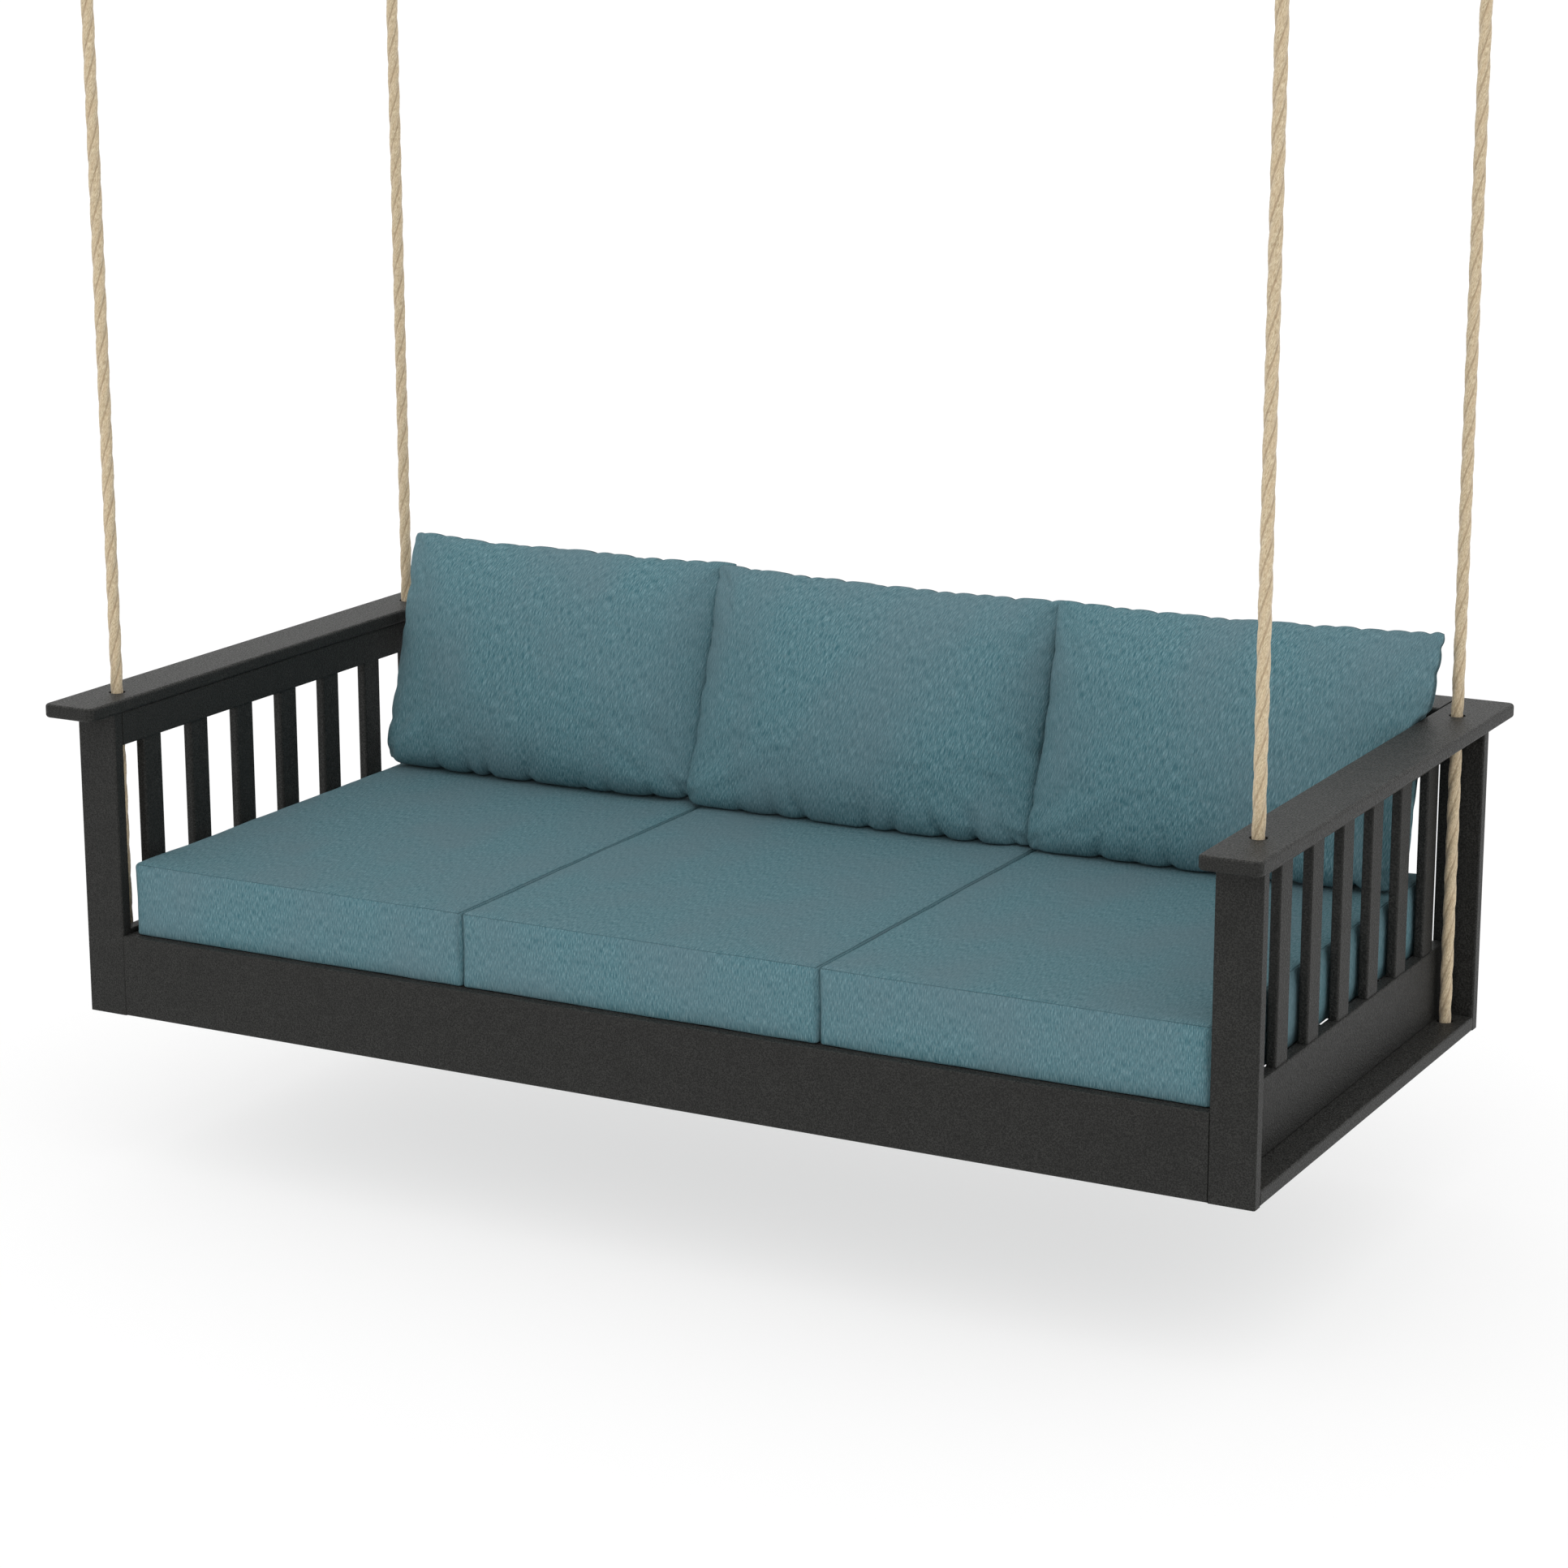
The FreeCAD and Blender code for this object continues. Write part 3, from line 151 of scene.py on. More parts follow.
# Seat cushions: boxed cushions with a seam round their upper and lower edges. SEAT_SPANS are their sides' x. They
# keep inside the CAD cushion's box, where their underside sinks in and goes flat, and seams and faces are uneven
# by a height and a number of waves.
SEAT_SPANS = {"left": (-0.9165, -0.3025), "middle": (-0.3010, 0.3105), "right": (0.3120, 0.9235)}
SEAT_CELL = 0.014
SEAT_EDGE_CUTS = (0, 0.15, 0.35, 0.6, 1, 1.5)
SEAT_ROUND = 0.010
SEAT_ROUND_UNDER = 0.004
SEAT_SINK = 0.001
SEAT_INSET = 0.001
SEAT_BACK_INSET = 0.004
SEAT_SWELL = 0.0035
SEAT_WEAVE_SHIFT = 2.3
SEAM_DEEP, SEAM_UNEVEN, SEAM_WAVES = 0.0018, 0.5, 40
SEAT_WAVES, SEAT_WAVE_HIGH, SEAT_RIPPLE, SEAT_RIPPLE_HIGH = 7, 0.0013, 4, 0.0007

# A boxed cushion's faces: two axes along them, the axis across them, the order of a corner ring on the low side,
# and where their cloth is cut from
BOX_FACES = ((0, 1, 2, -1, (0, 0)), (0, 2, 1, 1, (0.37, -0.3)), (1, 2, 0, -1, (0.71, -0.6)))

# The cloth solver: frames, mass of a point in kg, steps in a frame
SOLVER_FRAMES = 14
SOLVER_MASS = 0.25
SOLVER_QUALITY = 6

# Colours of plastic lumber (its ground, flecks, clouds, and a paler grain painted as glints on faces that look
# up), of steel's spangle, and of rope
PLASTIC_DARK, PLASTIC_FLECK = (0.0085, 0.0085, 0.0077), (0.0305, 0.0305, 0.0283)
PLASTIC_CLOUD, PLASTIC_PAINTED_GLINT = (0.0090, 0.0090, 0.0080), (0.066, 0.066, 0.062)
STEEL_DULL, STEEL_BRIGHT = (0.50, 0.51, 0.52), (0.66, 0.66, 0.65)
FIBRE_DARK, FIBRE_PALE, YARN_BROWN = (0.37, 0.27, 0.155), (0.71, 0.60, 0.405), (0.56, 0.41, 0.25)
# The rope's last colour is painted shade for the grooves between its strands
FUZZ_PALE, GROOVE_SHADE = (0.77, 0.68, 0.50), (0.24, 0.15, 0.075)

# Cloth: two teals, a deep one between the threads, a grey slub and a duller patch, then the seam's shade, the
# twill's slant and its scale
CLOTH_TONES = ((0.033, 0.108, 0.131), (0.148, 0.262, 0.290), (0.046, 0.108, 0.129), (0.186, 0.235, 0.250),
               (0.105, 0.150, 0.171))
SEAM_SHADE = (0.012, 0.034, 0.042)
TWILL_SLANT = radians(30)
TWILL_SCALE = 60
# Streaks, threads and slubs: how many to a metre across the warp, how many along it against the streaks, detail
THREADS = ((900, 1, 1), (1300, 3, 1), (520, 1.4, 2))
# Tone against CLOTH_TONES, partly painted light; streaks to a metre along the warp, the warp's slant, half the
# streaks' range
# The seats' copy of the cloth is painted darker than the backs', for the light that each gets
SEAT_CLOTH = (1.09, 85, 0, 0.16)
BACK_CLOTH = (1.17, 80, radians(9), 0.13)

# Studio
FLOOR_DARK, FLOOR_PALE = (0.36, 0.36, 0.36), (0.37, 0.37, 0.37)
WHITE = (1, 1, 1, 1)


# Camera and studio
def camera():
    data = bpy.data.cameras.new("camera")
    data.sensor_width = CAMERA_SENSOR
    data.lens = PHOTO_FOCAL / PHOTO_SIDE * CAMERA_SENSOR
    data.clip_end = CAMERA_FAR
    item = bpy.data.objects.new("camera", data)
    bpy.context.scene.collection.objects.link(item)
    turn = Matrix.Rotation(CAMERA_YAW, 4, "Z") @ Matrix.Rotation(pi / 2 - CAMERA_PITCH, 4, "X")
    turn = turn @ Matrix.Rotation(CAMERA_ROLL, 4, "Z")
    item.matrix_world = Matrix.Translation(CAMERA_PLACE) @ turn
    bpy.context.scene.camera = item


def floor():
    level = FEET - FLOOR_DROP
    corners = [(x * FLOOR_HALF, y * FLOOR_HALF, level) for x, y in ((-1, -1), (1, -1), (1, 1), (-1, 1))]
    add_mesh("floor", corners, [(0, 1, 2, 3)], floor_material())


def sky():
    world = bpy.data.worlds.new("studio")
    bpy.context.scene.world = world
    world.use_nodes = True
    tree = world.node_tree
    height = tree.nodes.new("ShaderNodeSeparateXYZ")
    tree.links.new(tree.nodes.new("ShaderNodeTexCoord").outputs["Generated"], height.inputs[0])
    strength = tree.nodes.new("ShaderNodeMapRange")
    tree.links.new(height.outputs["Z"], strength.inputs["Value"])
    for socket, number in (("From Min", 0), ("From Max", 1), ("To Min", SKY_LOW), ("To Max", SKY_HIGH)):
        strength.inputs[socket].default_value = number
    tree.links.new(strength.outputs[0], tree.nodes["Background"].inputs["Strength"])
    tree.nodes["Background"].inputs["Color"].default_value = WHITE


def sun():
    data = bpy.data.lights.new("key", "SUN")
    data.energy = SUN_STRENGTH
    data.angle = SUN_WIDE
    item = bpy.data.objects.new("key", data)
    item.rotation_euler = (pi / 2 - SUN_RISE, 0, SUN_AROUND)
    bpy.context.scene.collection.objects.link(item)


# Node materials
class Nodes:
    """A short way to write a material's nodes."""

    def __init__(self, name):
        self.material = bpy.data.materials.new(name)
        self.material.use_nodes = True
        self.tree = self.material.node_tree
        self.shader = self.tree.nodes["Principled BSDF"]

    def set(self, **values):
        for name, value in values.items():
            self.shader.inputs[name.replace("_", " ")].default_value = value

    def link(self, value, socket):
        if isinstance(value, bpy.types.NodeSocket):
            self.tree.links.new(value, socket)
        else:
            socket.default_value = value

    def add(self, kind, **settings):
        node = self.tree.nodes.new(kind)
        for name, value in settings.items():
            setattr(node, name, value)
        return node

    def place(self, output="Object"):
        return self.add("ShaderNodeTexCoord").outputs[output]

    def attribute(self, name):
        return self.add("ShaderNodeAttribute", attribute_name=name).outputs["Fac"]

    def mapped(self, vector, socket, value):
        node = self.add("ShaderNodeMapping")
        self.link(vector, node.inputs["Vector"])
        node.inputs[socket].default_value = value
        return node.outputs[0]

    def scaled(self, vector, across, along):
        return self.mapped(vector, "Scale", (across, along, 1))

    def turned(self, vector, angle):
        return self.mapped(vector, "Rotation", (0, 0, angle))

    def bands(self, vector, scale, distortion, detail):
        node = self.add("ShaderNodeTexWave")
        self.link(vector, node.inputs["Vector"])
        for name, number in (("Scale", scale), ("Distortion", distortion), ("Detail Scale", detail)):
            node.inputs[name].default_value = number
        return node.outputs["Fac"]

    def noise(self, vector, scale, detail=2.0, rough=0.5):
        node = self.add("ShaderNodeTexNoise")
        self.link(vector, node.inputs["Vector"])
        for name, number in (("Scale", scale), ("Detail", detail), ("Roughness", rough)):
            node.inputs[name].default_value = number
        return node.outputs["Fac"]

    def cells(self, vector, scale):
        node = self.add("ShaderNodeTexVoronoi")
        self.link(vector, node.inputs["Vector"])
        node.inputs["Scale"].default_value = scale
        return node.outputs["Color"]

    def math(self, operation, first, second):
        node = self.add("ShaderNodeMath", operation=operation)
        self.link(first, node.inputs[0])
        self.link(second, node.inputs[1])
        return node.outputs[0]

    def range(self, value, low, high, to_low=0.0, to_high=1.0):
        node = self.add("ShaderNodeMapRange")
        self.link(value, node.inputs["Value"])
        for name, number in (("From Min", low), ("From Max", high), ("To Min", to_low), ("To Max", to_high)):
            node.inputs[name].default_value = number
        return node.outputs[0]

    def mix(self, amount, first, second):
        node = self.add("ShaderNodeMix", data_type="RGBA")
        self.link(amount, node.inputs["Factor"])
        for value, socket in ((first, node.inputs[6]), (second, node.inputs[7])):
            self.link(value if isinstance(value, bpy.types.NodeSocket) else (*value, 1), socket)
        return node.outputs[2]

    def bump(self, height, distance, strength, under=None):
        node = self.add("ShaderNodeBump")
        self.link(height, node.inputs["Height"])
        node.inputs["Distance"].default_value = distance
        node.inputs["Strength"].default_value = strength
        if under:
            self.link(under, node.inputs["Normal"])
        return node.outputs[0]

    def finish(self, color, normal, rough):
        self.link(color, self.shader.inputs["Base Color"])
        self.link(normal, self.shader.inputs["Normal"])
        self.link(rough, self.shader.inputs["Roughness"])
        return self.material


def plastic_material():
    """Charcoal plastic lumber with a fine pebbled skin; faces that look up carry a paler grain of painted glints.
    """
    m = Nodes("plastic_lumber")
    m.set(Specular_IOR_Level=0.18)
    place = m.place()
    pebbles = m.noise(place, 400)
    waves = m.noise(place, 35)
    flecks = m.range(m.noise(place, 480, 1), 0.38, 0.66)
    color = m.mix(flecks, PLASTIC_DARK, PLASTIC_FLECK)
    color = m.mix(m.range(waves, 0.3, 0.7, 0, 0.30), color, PLASTIC_CLOUD)
    # Faces that look up are painted lighter: a flecked grain of painted glints, standing in for the light from
    # above
    split = m.add("ShaderNodeSeparateXYZ")
    m.link(m.add("ShaderNodeNewGeometry").outputs["Normal"], split.inputs[0])
    upward = m.range(split.outputs["Z"], 0.4, 0.95)
    grain = m.range(m.noise(place, 380, 1), 0.44, 0.62, 0, 0.75)
    color = m.mix(m.math("MULTIPLY", upward, grain), color, PLASTIC_PAINTED_GLINT)
    rough = m.range(pebbles, 0.3, 0.7, 0.36, 0.62)
    normal = m.bump(pebbles, 0.0020, 1.0, m.bump(waves, 0.0008, 0.35))
    return m.finish(color, normal, rough)


def steel_material():
    """Galvanised steel with a faint spangle."""
    m = Nodes("galvanised_steel")
    m.set(Metallic=1.0)
    place = m.place()
    grain = m.noise(place, 900)
    color = m.mix(m.range(m.cells(place, 260), 0, 1, 0, 0.5), STEEL_DULL, STEEL_BRIGHT)
    rough = m.range(grain, 0.3, 0.7, 0.28, 0.46)
    return m.finish(color, m.bump(grain, 0.0002, 0.5), rough)


def rope_material():
    """Beige three-strand rope: fibres along the strands, with painted shade darkening the grooves."""
    m = Nodes("rope")
    m.set(Sheen_Weight=0.25, Sheen_Roughness=0.6)
    weave = m.place("UV")
    fibres = m.noise(m.scaled(weave, 34, 150), 1, 3, 0.65)
    yarns = m.noise(m.scaled(weave, 12, 30), 1)
    fuzz = m.noise(m.place(), 900, 3, 0.6)
    color = m.mix(m.range(fibres, 0.36, 0.64), FIBRE_DARK, FIBRE_PALE)
    color = m.mix(m.range(yarns, 0.40, 0.65, 0, 0.45), color, YARN_BROWN)
    color = m.mix(m.range(fuzz, 0.50, 0.70, 0, 0.35), color, FUZZ_PALE)
    # Painted shade: darker where the surface sinks into the grooves between the strands
    color = m.mix(m.range(m.attribute("groove"), 0.60, 0.98, 0, 0.66), color, GROOVE_SHADE)
    normal = m.bump(fuzz, 0.0010, 0.8, m.bump(fibres, 0.0012, 0.9))
    return m.finish(color, normal, m.range(fuzz, 0.3, 0.7, 0.8, 0.95))


def cloth_material(name, tone_and_painted_light, along, slant, spread):
    """Heathered teal outdoor cloth; U runs across the warp and V along it."""
    m = Nodes(name)
    m.set(Sheen_Weight=0.03, Sheen_Roughness=0.5, Specular_IOR_Level=0.15)
    weave = m.place("UV")
    warp = m.turned(weave, slant)
    streaks, threads, slubs = (m.noise(m.scaled(warp, across, stretch * along), 1, detail)
                               for across, stretch, detail in THREADS)
    twill = m.bands(m.turned(weave, TWILL_SLANT), TWILL_SCALE, 0.9, 3.0)
    patches = m.noise(m.scaled(weave, 6, 4), 1)
    teal, pale, deep, grey, dusk = (tuple(tone_and_painted_light * part for part in color) for color in CLOTH_TONES)
    color = m.mix(m.range(streaks, 0.5 - spread, 0.5 + spread), teal, pale)
    color = m.mix(m.range(threads, 0.42, 0.66, 0, 0.60), color, deep)
    color = m.mix(m.range(slubs, 0.52, 0.70, 0, 0.28), color, grey)
    color = m.mix(m.range(twill, 0.20, 0.80, 0, 0.24), color, deep)
    color = m.mix(m.range(patches, 0.40, 0.65, 0, 0.38), color, dusk)
    # The seam is a dark line of stitching and of painted shade in its groove, in which stitches come and go
    line = m.range(m.attribute("seam"), 0.35, 0.80, 0, 0.8)
    stitches = m.range(m.noise(m.scaled(weave, 260, 260), 1, 1), 0.35, 0.6, 0.55, 1.0)
    color = m.mix(m.math("MULTIPLY", line, stitches), color, SEAM_SHADE)
    relief = m.math("ADD", m.math("MULTIPLY", streaks, 2.0), threads)
    relief = m.math("ADD", relief, m.math("MULTIPLY", twill, 0.3))
    return m.finish(color, m.bump(relief, 0.0008, 0.6), m.range(slubs, 0.3, 0.7, 0.82, 0.95))


def floor_material():
    """A pale studio floor that glows a little, so the shade on it stays light."""
    m = Nodes("floor")
    m.set(Emission_Color=WHITE, Emission_Strength=FLOOR_GLOW)
    place = m.place()
    color = m.mix(m.range(m.noise(place, 0.6), 0.3, 0.7), FLOOR_DARK, FLOOR_PALE)
    return m.finish(color, m.bump(m.noise(place, 60), 0.0002, 0.2), 0.9)


# Meshes
def add_mesh(name, points, faces, material):
    """A smooth object made of points and faces."""
    data = bpy.data.meshes.new(name)
    data.from_pydata([tuple(p) for p in points], [], faces)
    data.validate()
    for face in data.polygons:
        face.use_smooth = True
    data.materials.append(material)
    item = bpy.data.objects.new(name, data)
    bpy.context.scene.collection.objects.link(item)
    return item


def add_weave(item, weave, shift):
    """Give each face's corners their places in the cloth, which is cut further along for each cushion."""
    layer = item.data.uv_layers.new(name="weave")
    for face, spots in zip(item.data.polygons, weave):
        for loop, (across, along) in zip(face.loop_indices, spots):
            layer.data[loop].uv = (across + shift, along)


def mark(item, name, values):
    """Give the points a value that the materials read."""
    item.data.attributes.new(name, "FLOAT", "POINT").data.foreach_set("value", values)


def mark_seam(item, seam):
    values = [0.0] * len(item.data.vertices)
    for i in seam:
        values[i] = 1.0
    mark(item, "seam", values)


def smooth_step(value, low, high):
    share = min(1, max(0, (value - low) / (high - low)))
    return share * share * (3 - 2 * share)


def blow_up(item, pressure, stiffness, bending, cap, pins):
    """Run the cloth solver with air inside the piece, and keep the result with its motion capped."""
    start = [v.co.copy() for v in item.data.vertices]
    modifier = item.modifiers.new("cloth", "CLOTH")
    settings = modifier.settings
    settings.quality = SOLVER_QUALITY
    settings.mass = SOLVER_MASS
    settings.tension_stiffness = settings.compression_stiffness = stiffness
    settings.shear_stiffness = stiffness / 2
    settings.bending_stiffness = bending
    settings.use_pressure = True
    settings.uniform_pressure_force = pressure
    settings.effector_weights.gravity = 0
    settings.effector_weights.all = 0
    modifier.collision_settings.use_collision = False
    item.vertex_groups.new(name="pins").add(pins, 1.0, "REPLACE")
    settings.vertex_group_mass = "pins"
    scene = bpy.context.scene
    for number in range(1, SOLVER_FRAMES + 1):
        scene.frame_set(number)
    shape = item.evaluated_get(bpy.context.evaluated_depsgraph_get())
    moved = [v.co.copy() for v in shape.data.vertices]
    item.modifiers.remove(modifier)
    scene.frame_set(1)
    for vertex, first, last in zip(item.data.vertices, start, moved):
        step = last - first
        vertex.co = first + step * min(1, cap / step.length if step.length else 1)
    item.data.update()


def subdivide(item):
    """One level of subdivision, applied."""
    modifier = item.modifiers.new("smooth", "SUBSURF")
    modifier.levels = modifier.render_levels = 1
    mesh = bpy.data.meshes.new_from_object(item.evaluated_get(bpy.context.evaluated_depsgraph_get()))
    item.modifiers.clear()
    item.vertex_groups.clear()
    item.data = mesh
    for face in mesh.polygons:
        face.use_smooth = True


def attach(item, body, node):
    """The body a piece moves with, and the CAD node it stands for."""
    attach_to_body(item, body)
    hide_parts(node)


# Back cushions
def bag_point(u, v, sheet):
    """A point of one of the bag's sheets, in the XZ plane, from its place between -1 and 1 across and up."""
    half_wide, half_high = BAG_WIDE / 2, BAG_HIGH / 2
    part = "top" if v > 0 else "bottom"
    x, z = u * half_wide, v * half_high
    corner = BAG_CORNER[part]
    out_x, out_z = abs(x) - half_wide + corner, abs(z) - half_high + corner
    if out_x > 0 and out_z > 0:
        shrink = max(out_x, out_z) / sqrt(out_x ** 2 + out_z ** 2)
        x = (abs(x) - out_x * (1 - shrink)) * (1 if x > 0 else -1)
        z = (abs(z) - out_z * (1 - shrink)) * (1 if z > 0 else -1)
    x -= BAG_PULL * u * abs(u) ** 3 * (1 - v ** 2)
    z -= BAG_PULL * BAG_PULL_SHARE[part] * v * abs(v) ** 3 * (1 - u ** 2)
    thick = sqrt(max(0, 1 - abs(u) ** BAG_CROWN_ACROSS)) * sqrt(max(0, 1 - abs(v) ** BAG_CROWN_UP[part]))
    thick *= 1 - BAG_TAPER * v
    return x, sheet * BAG_THICK / 2 * thick, z


def bag(name, place):
    """Two crowned sheets joined round their edge; returns their object and the points of the seam."""
    across, up = round(BAG_WIDE / BAG_CELL), round(BAG_HIGH / BAG_CELL)
    points, faces, weave, index, seam = [], [], [], {}, []
    for sheet in (-1, 1):
        for i in range(across + 1):
            for j in range(up + 1):
                edge = i in (0, across) or j in (0, up)
                if sheet == 1 and edge:
                    index[sheet, i, j] = index[-1, i, j]
                    continue
                # Grid lines crowd towards the seam, where the sheet turns over
                u, v = ((1 - BAG_CROWD) * c + BAG_CROWD * sin(pi / 2 * c)
                        for c in (2 * i / across - 1, 2 * j / up - 1))
                index[sheet, i, j] = len(points)
                if edge:
                    seam.append(len(points))
                points.append(bag_point(u, v, sheet))
        for i in range(across):
            for j in range(up):
                ring = [(i, j), (i + 1, j), (i + 1, j + 1), (i, j + 1)][::-sheet]
                faces.append([index[sheet, a, b] for a, b in ring])
                weave.append([(a * BAG_CELL, b * BAG_CELL) for a, b in ring])
    item = add_mesh(name, points, faces, back_cloth)
    add_weave(item, weave, place * BAG_WEAVE_SHIFT)
    mark_seam(item, seam)
    return item, seam


def pucker_places(side, chance):
    """Stitches that draw one side of the seam in: place along the side, strength and slant."""
    long = BAG_HIGH if side in SIDES else BAG_WIDE
    count = round(long / PUCKER_PITCH[side])
    places = []
    for i in range(count):
        at = (i + 0.5 + chance.uniform(-PUCKER_JITTER, PUCKER_JITTER)) * long / count - long / 2
        strength = chance.uniform(PUCKER_WEAKEST, 1.0)
        places.append((at, strength, chance.uniform(-PUCKER_SLANT, PUCKER_SLANT)))
    return places


def pucker(item, place):
    """Gather the cloth along the seam: short creases that start at the stitches, and a slightly uneven face."""
    chance = random.Random(PUCKER_SEED + place)
    puckers = {side: pucker_places(side, chance) for side in ("left", "right", "top", "bottom")}
    if place == PINCH_CUSHION:
        puckers["right"].append(PINCH)
    half_wide, half_high = BAG_WIDE / 2, BAG_HIGH / 2
    normals = [v.normal.copy() for v in item.data.vertices]
    seam = item.data.attributes["seam"].data
    for vertex, normal in zip(item.data.vertices, normals):
        x, y, z = vertex.co
        move = Vector()
        # Each side of the seam: how far the point is inwards from it and along it, and where the side ends
        for side, inward, along, end in (("left", half_wide + x, z, half_high),
                                         ("right", half_wide - x, z, half_high),
                                         ("bottom", half_high + z, x, half_wide),
                                         ("top", half_high - z, x, half_wide)):
            if inward > PUCKER_FIELD:
                continue
            pull = 0.0
            for at, strength, slant in puckers[side]:
                reach = PUCKER_REACH[side] + PUCKER_WIDEN * max(0, inward)
                off = (along - at - slant * inward) / reach
                if abs(off) < PUCKER_END:
                    pull += strength * exp(-abs(off) ** PUCKER_POWER)
            pull *= PUCKER_DEEP[side] * smooth_step(end - abs(along), *PUCKER_FADE)
            move -= normal * pull * exp(-max(0, inward) / PUCKER_LONG[side])
        move -= normal * SEAM_NIP * seam[vertex.index].value ** 2
        for high, waves, through, shift in FACE_WAVES:
            spot = Vector((x * waves, z * waves, y * through + place * shift))
            move += normal * high * noise.noise(spot)
        vertex.co += move
    item.data.update()


def settle(item, name):
    """Lean the bag on the cap and stand it on the seat; it flattens where it touches cap, seat or arm."""
    middle_x, roll, rise, slump, share = BAG_PLACES[name]
    turn = Matrix.Rotation(-BAG_LEAN, 4, "X") @ Matrix.Rotation(radians(roll), 4, "Y")
    middle = Vector((middle_x, BAG_MIDDLE[0], BAG_MIDDLE[1] + rise))
    for vertex in item.data.vertices:
        spot = Vector((vertex.co.x * share + slump * vertex.co.z, vertex.co.y, vertex.co.z))
        lap = LAP_DEEP * (smooth_step(spot.x, LAP_FROM, LAP_TO) - smooth_step(-spot.x, LAP_FROM, LAP_TO))
        spot = middle + turn @ (spot + Vector((0, lap, 0)))
        if spot.z < CAP_TOP + CAP_RISE:
            spot.y = min(spot.y, CAP_FRONT - CLEAR)
        bulge = ARM_BULGE * smooth_step(spot.z, ARM_TOP + ARM_BULGE_FROM, ARM_TOP + ARM_BULGE_TO)
        side_limit = ARM_INSIDE - CLEAR + bulge
        spot.x = max(-side_limit, min(side_limit, spot.x))
        spot.z = max(spot.z, SEAT_TOP + CLEAR)
        vertex.co = spot
    item.data.update()


def back_cushion(place, name):
    """A knife-edge cushion that leans on the back cap and stands on the seat cushions."""
    node = name + "_back_cushion"
    item, seam = bag(node + "_cover", place)
    blow_up(item, pressure=3.0, stiffness=30, bending=0.8, cap=BAG_SWELL, pins=seam)
    subdivide(item)
    pucker(item, place)
    settle(item, name)
    subdivide(item)
    attach(item, "seat", node)


# Seat cushions
def cuts(length):
    """Places of the grid lines along one side: close together near the ends."""
    near = [share * SEAT_ROUND for share in SEAT_EDGE_CUTS]
    inner = length - 2 * near[-1]
    count = round(inner / SEAT_CELL)
    between = [near[-1] + inner * i / count for i in range(1, count)]
    return near + between + [length - n for n in near[::-1]]


def boxed_bag(name, low, high, place):
    """A box with rounded edges and an even grid; returns its object and the points of its two seams."""
    size = high - low
    lines = [cuts(size[axis]) for axis in range(3)]
    last = [len(line) - 1 for line in lines]
    index, points, faces, weave, seams = {}, [], [], [], []

    def corner(i, j, k):
        if (i, j, k) in index:
            return index[i, j, k]
        raw = Vector((lines[0][i], lines[1][j], lines[2][k]))
        inner = Vector([min(max(raw[a], SEAT_ROUND), size[a] - SEAT_ROUND) for a in range(3)])
        out = raw - inner
        spot = inner + out.normalized() * SEAT_ROUND if out.length > 1e-9 else raw
        if spot.z < SEAT_ROUND:
            spot.z *= SEAT_ROUND_UNDER / SEAT_ROUND
        if k in (0, last[2]) and (i in (0, last[0]) or j in (0, last[1])):
            seams.append(len(points))
        index[i, j, k] = len(points)
        points.append(low + spot)
        return index[i, j, k]

    for first, second, across, order, (cut_u, cut_v) in BOX_FACES:
        for i in range(last[first]):
            for j in range(last[second]):
                for side, turn in ((0, order), (last[across], -order)):
                    ring = []
                    for a, b in [(i, j), (i + 1, j), (i + 1, j + 1), (i, j + 1)][::turn]:
                        spot = [0, 0, 0]
                        spot[first], spot[second], spot[across] = a, b, side
                        ring.append(spot)
                    faces.append([corner(*spot) for spot in ring])
                    weave.append([(lines[first][spot[first]] + cut_u, lines[second][spot[second]] + cut_v)
                                  for spot in ring])
    item = add_mesh(name, points, faces, seat_cloth)
    add_weave(item, weave, place * SEAT_WEAVE_SHIFT)
    mark_seam(item, seams)
    return item, seams


def seat_cushion(place, name):
    """A boxed cushion: faces slightly crowned, seams drawn in."""
    node = name + "_seat_cushion"
    low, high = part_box(node)
    left, right = SEAT_SPANS[name]
    corner_low = Vector((left, low.y + SEAT_INSET, low.z - SEAT_SINK))
    corner_high = Vector((right, high.y - SEAT_BACK_INSET, high.z - SEAT_INSET))
    item, seams = boxed_bag(node + "_cover", corner_low, corner_high, place)
    blow_up(item, pressure=1.5, stiffness=40, bending=2.0, cap=SEAT_SWELL, pins=seams)
    normals = [v.normal.copy() for v in item.data.vertices]
    for i in seams:
        vertex = item.data.vertices[i]
        vertex.co -= normals[i] * SEAM_DEEP * (1 + SEAM_UNEVEN * noise.noise(vertex.co * SEAM_WAVES))
    for vertex, normal in zip(item.data.vertices, normals):
        spot = vertex.co * SEAT_WAVES + Vector((place * 5, 0, 0))
        waves, ripples = noise.noise(spot), noise.noise(spot * SEAT_RIPPLE)
        vertex.co += normal * (SEAT_WAVE_HIGH * waves + SEAT_RIPPLE_HIGH * ripples)
        vertex.co.z = min(max(vertex.co.z, low.z), high.z)
    item.data.update()
    subdivide(item)
    attach(item, "seat", node)


# Ropes
def spline_points(route, step):
    """Points along a smooth line that has the route's points as its control points."""
    data = bpy.data.curves.new("route", "CURVE")
    data.dimensions = "3D"
    spline = data.splines.new("NURBS")
    spline.points.add(len(route) - 1)
    for point, place in zip(spline.points, route):
        point.co = (*place, 1)
    spline.order_u = 3
    spline.use_endpoint_u = True
    spline.resolution_u = 32
    item = bpy.data.objects.new("route", data)
    bpy.context.scene.collection.objects.link(item)
    mesh = bpy.data.meshes.new_from_object(item)
    line = [v.co.copy() for v in mesh.vertices]
    bpy.data.objects.remove(item)
    bpy.data.meshes.remove(mesh)
    return resample(line, step)


